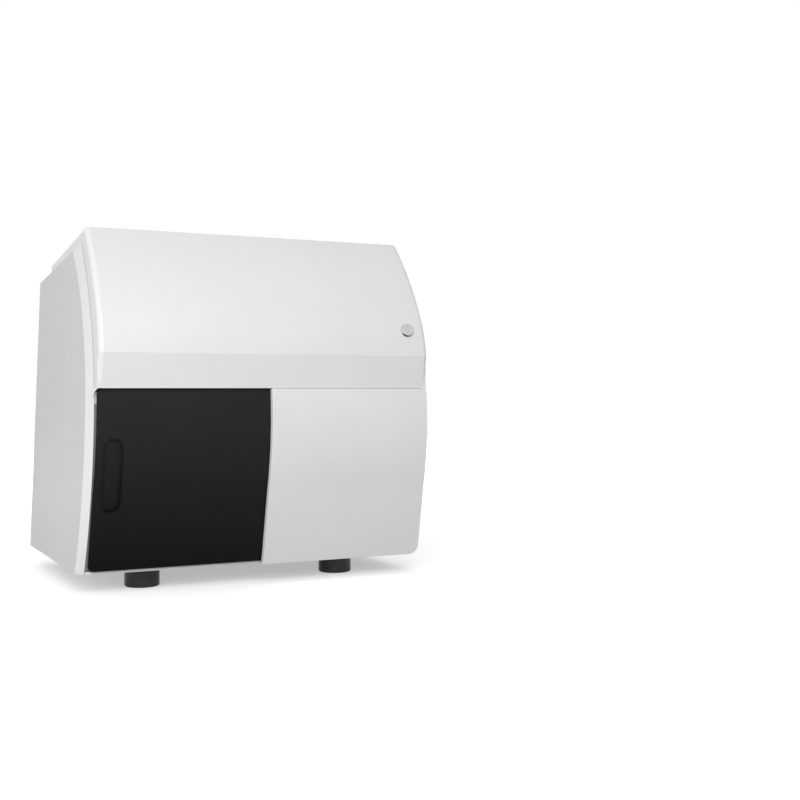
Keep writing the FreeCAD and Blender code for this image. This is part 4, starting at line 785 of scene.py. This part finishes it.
def tissue_slice():
    """A thin slice with a wavy outline, longer than it is wide."""
    stretch, thickness = 1.45, 0.00004
    bpy.ops.object.select_all(action="DESELECT")
    bpy.ops.mesh.primitive_circle_add(vertices=28, radius=0.0075, fill_type="NGON",
                                      location=(0, 0.047, 0.00006))
    piece = new_piece("slice")
    for index, vertex in enumerate(piece.data.vertices):
        swell = 1 + 0.16 * math.sin(index * 0.9) + 0.09 * math.sin(index * 2.3 + 1.0)
        vertex.co = (vertex.co.x * swell, vertex.co.y * swell * stretch, vertex.co.z)
    bpy.ops.object.mode_set(mode="EDIT")
    bpy.ops.mesh.select_all(action="SELECT")
    bpy.ops.mesh.extrude_region_move(TRANSFORM_OT_translate={"value": (0, 0, thickness)})
    bpy.ops.mesh.select_all(action="SELECT")
    bpy.ops.mesh.normals_make_consistent(inside=False)
    bpy.ops.object.mode_set(mode="OBJECT")
    place_in_mesh(piece)
    return piece


def cover_glass():
    """A thin glass over the slice."""
    glass = new_block("glass", centre=(0, 0.047, 0.0002), size=(0.022, 0.04, 0.00016))
    place_in_mesh(glass)
    round_edges(glass, 0.0004, 2, wall_edges)
    return glass


def slide_dressing():
    """A label, a stained slice and a cover glass on each slide, in the magazine and on the stage."""
    slide_pitch, shelf_pitch = 0.028, 0.016
    steps, shelves = (-2, -1, 0, 1, 2), (0, 1, 2, 4, 5, 6)
    stored = [(MAGAZINE_X + step * slide_pitch, -0.1319677, 0.109 + shelf * shelf_pitch)
              for shelf in shelves for step in steps]
    staged = [(0.112 + step * slide_pitch, -0.078, 0.157) for step in steps]
    for places, body, where in ((stored, "lift", "stored"), (staged, "stage_x", "stage")):
        labels = copies_at(slide_label(), places, where + "_slide_labels")
        settle(labels, body, EXTRAS["label_paper"], "glide_nylon")
        slices = copies_at(tissue_slice(), places, where + "_tissue")
        settle(slices, body, EXTRAS["stained_tissue"], "post_brass")
        dress(copies_at(cover_glass(), places, where + "_cover_glasses"), body, "slide_glass")


# ---------------------------------------------------------------- camera, floor and light

# How bright floor and backdrop are to bounced light. They look brighter than that.
BOUNCED = 0.45


def look_camera():
    """A level camera in front of the cabinet and to its left."""
    lens = bpy.data.cameras.new("view")
    lens.lens = 53.9
    lens.sensor_width = 36.0
    lens.shift_y = -0.015
    holder = bpy.data.objects.new("view", lens)
    bpy.context.scene.collection.objects.link(holder)
    holder.location = (-0.653, -1.913, 0.302)
    holder.rotation_euler = (math.radians(90), 0, math.radians(-27.08))
    bpy.context.scene.camera = holder


def soft_lamp(name, place, aim, size, power):
    """A rectangular lamp at a place, turned to what it lights."""
    light = bpy.data.lights.new(name, "AREA")
    light.shape = "RECTANGLE"
    light.size, light.size_y = size
    light.energy = power
    holder = bpy.data.objects.new(name, light)
    bpy.context.scene.collection.objects.link(holder)
    holder.location = place
    holder.rotation_euler = (Vector(aim) - Vector(place)).to_track_quat("-Z", "Y").to_euler()


def seen_directly(tree):
    """1 where the camera sees a surface straight, in a mirror or through glass."""
    path = tree.nodes.new("ShaderNodeLightPath")
    mirrored = calc(tree, "MAXIMUM", path.outputs["Is Glossy Ray"], path.outputs["Is Transmission Ray"])
    return calc(tree, "MAXIMUM", path.outputs["Is Camera Ray"], mirrored)


def backdrop():
    """A white world that lights the cabinet less than it looks."""
    world = bpy.data.worlds.new("studio")
    bpy.context.scene.world = world
    world.use_nodes = True
    tree = world.node_tree
    sky = tree.nodes["Background"]
    tree.links.new(spread(tree, seen_directly(tree), 0.0, 1.0, BOUNCED, 1.0), sky.inputs["Strength"])
    sky.inputs["Color"].default_value = (1, 1, 1, 1)


def floor():
    """Pale paper that shows the cabinet's shadow and throws little light back up.

    Where it is seen it also glows, weakly near the cabinet and up to white further away.
    """
    paper_tone, near, far, near_glow, far_glow = 0.93, 1.0, 2.6, 0.42, 1.0
    bpy.ops.mesh.primitive_plane_add(size=9.0, location=(0, 0, 0))
    sheet = new_piece("floor")
    material = bpy.data.materials.new("floor_paper")
    material.use_nodes = True
    tree = material.node_tree
    shader = tree.nodes["Principled BSDF"]
    shader.inputs["Roughness"].default_value = 0.95
    shader.inputs["Specular IOR Level"].default_value = 0.0
    seen = seen_directly(tree)
    shade = spread(tree, seen, 0.0, 1.0, BOUNCED, paper_tone)
    tone = tree.nodes.new("ShaderNodeCombineColor")
    for channel in ("Red", "Green", "Blue"):
        tree.links.new(shade, tone.inputs[channel])
    tree.links.new(tone.outputs["Color"], shader.inputs["Base Color"])
    shader.inputs["Emission Color"].default_value = (1, 1, 1, 1)
    away = tree.nodes.new("ShaderNodeVectorMath")
    away.operation = "LENGTH"
    tree.links.new(object_coordinates(tree), away.inputs[0])
    glow = spread(tree, away.outputs["Value"], near, far, near_glow, far_glow)
    tree.links.new(calc(tree, "MULTIPLY", seen, glow), shader.inputs["Emission Strength"])
    sheet.data.materials.append(material)


# ---------------------------------------------------------------- the scene

for node_name, slot_name in slot_of.items():
    for material_slot in nodes[node_name].material_slots:
        material_slot.material = FINISHES[slot_name]
nodes["lift_screw"].material_slots[0].material = EXTRAS["lift_thread"]

side_covers()
hood_shell()
fixed_panel()
door_leaf()
edge_strip()
corner_tab()
power_cap()
plain_edges()
cover_screws()
inlet_pins()
port_tongues()
slide_dressing()

bpy.ops.object.select_all(action="DESELECT")
look_camera()
backdrop()
floor()
soft_lamp("key", place=(-0.85, -1.9, 1.05), aim=(-0.05, -0.2, 0.33), size=(1.2, 1.2), power=25.5)
soft_lamp("side", place=(-2.6, -0.3, 0.9), aim=(0, 0, 0.3), size=(1.4, 1.4), power=12.0)
soft_lamp("back", place=(0.9, 2.6, 1.6), aim=(0, 0.1, 0.3), size=(1.8, 1.8), power=24.0)

bpy.context.scene.view_settings.view_transform = "Standard"
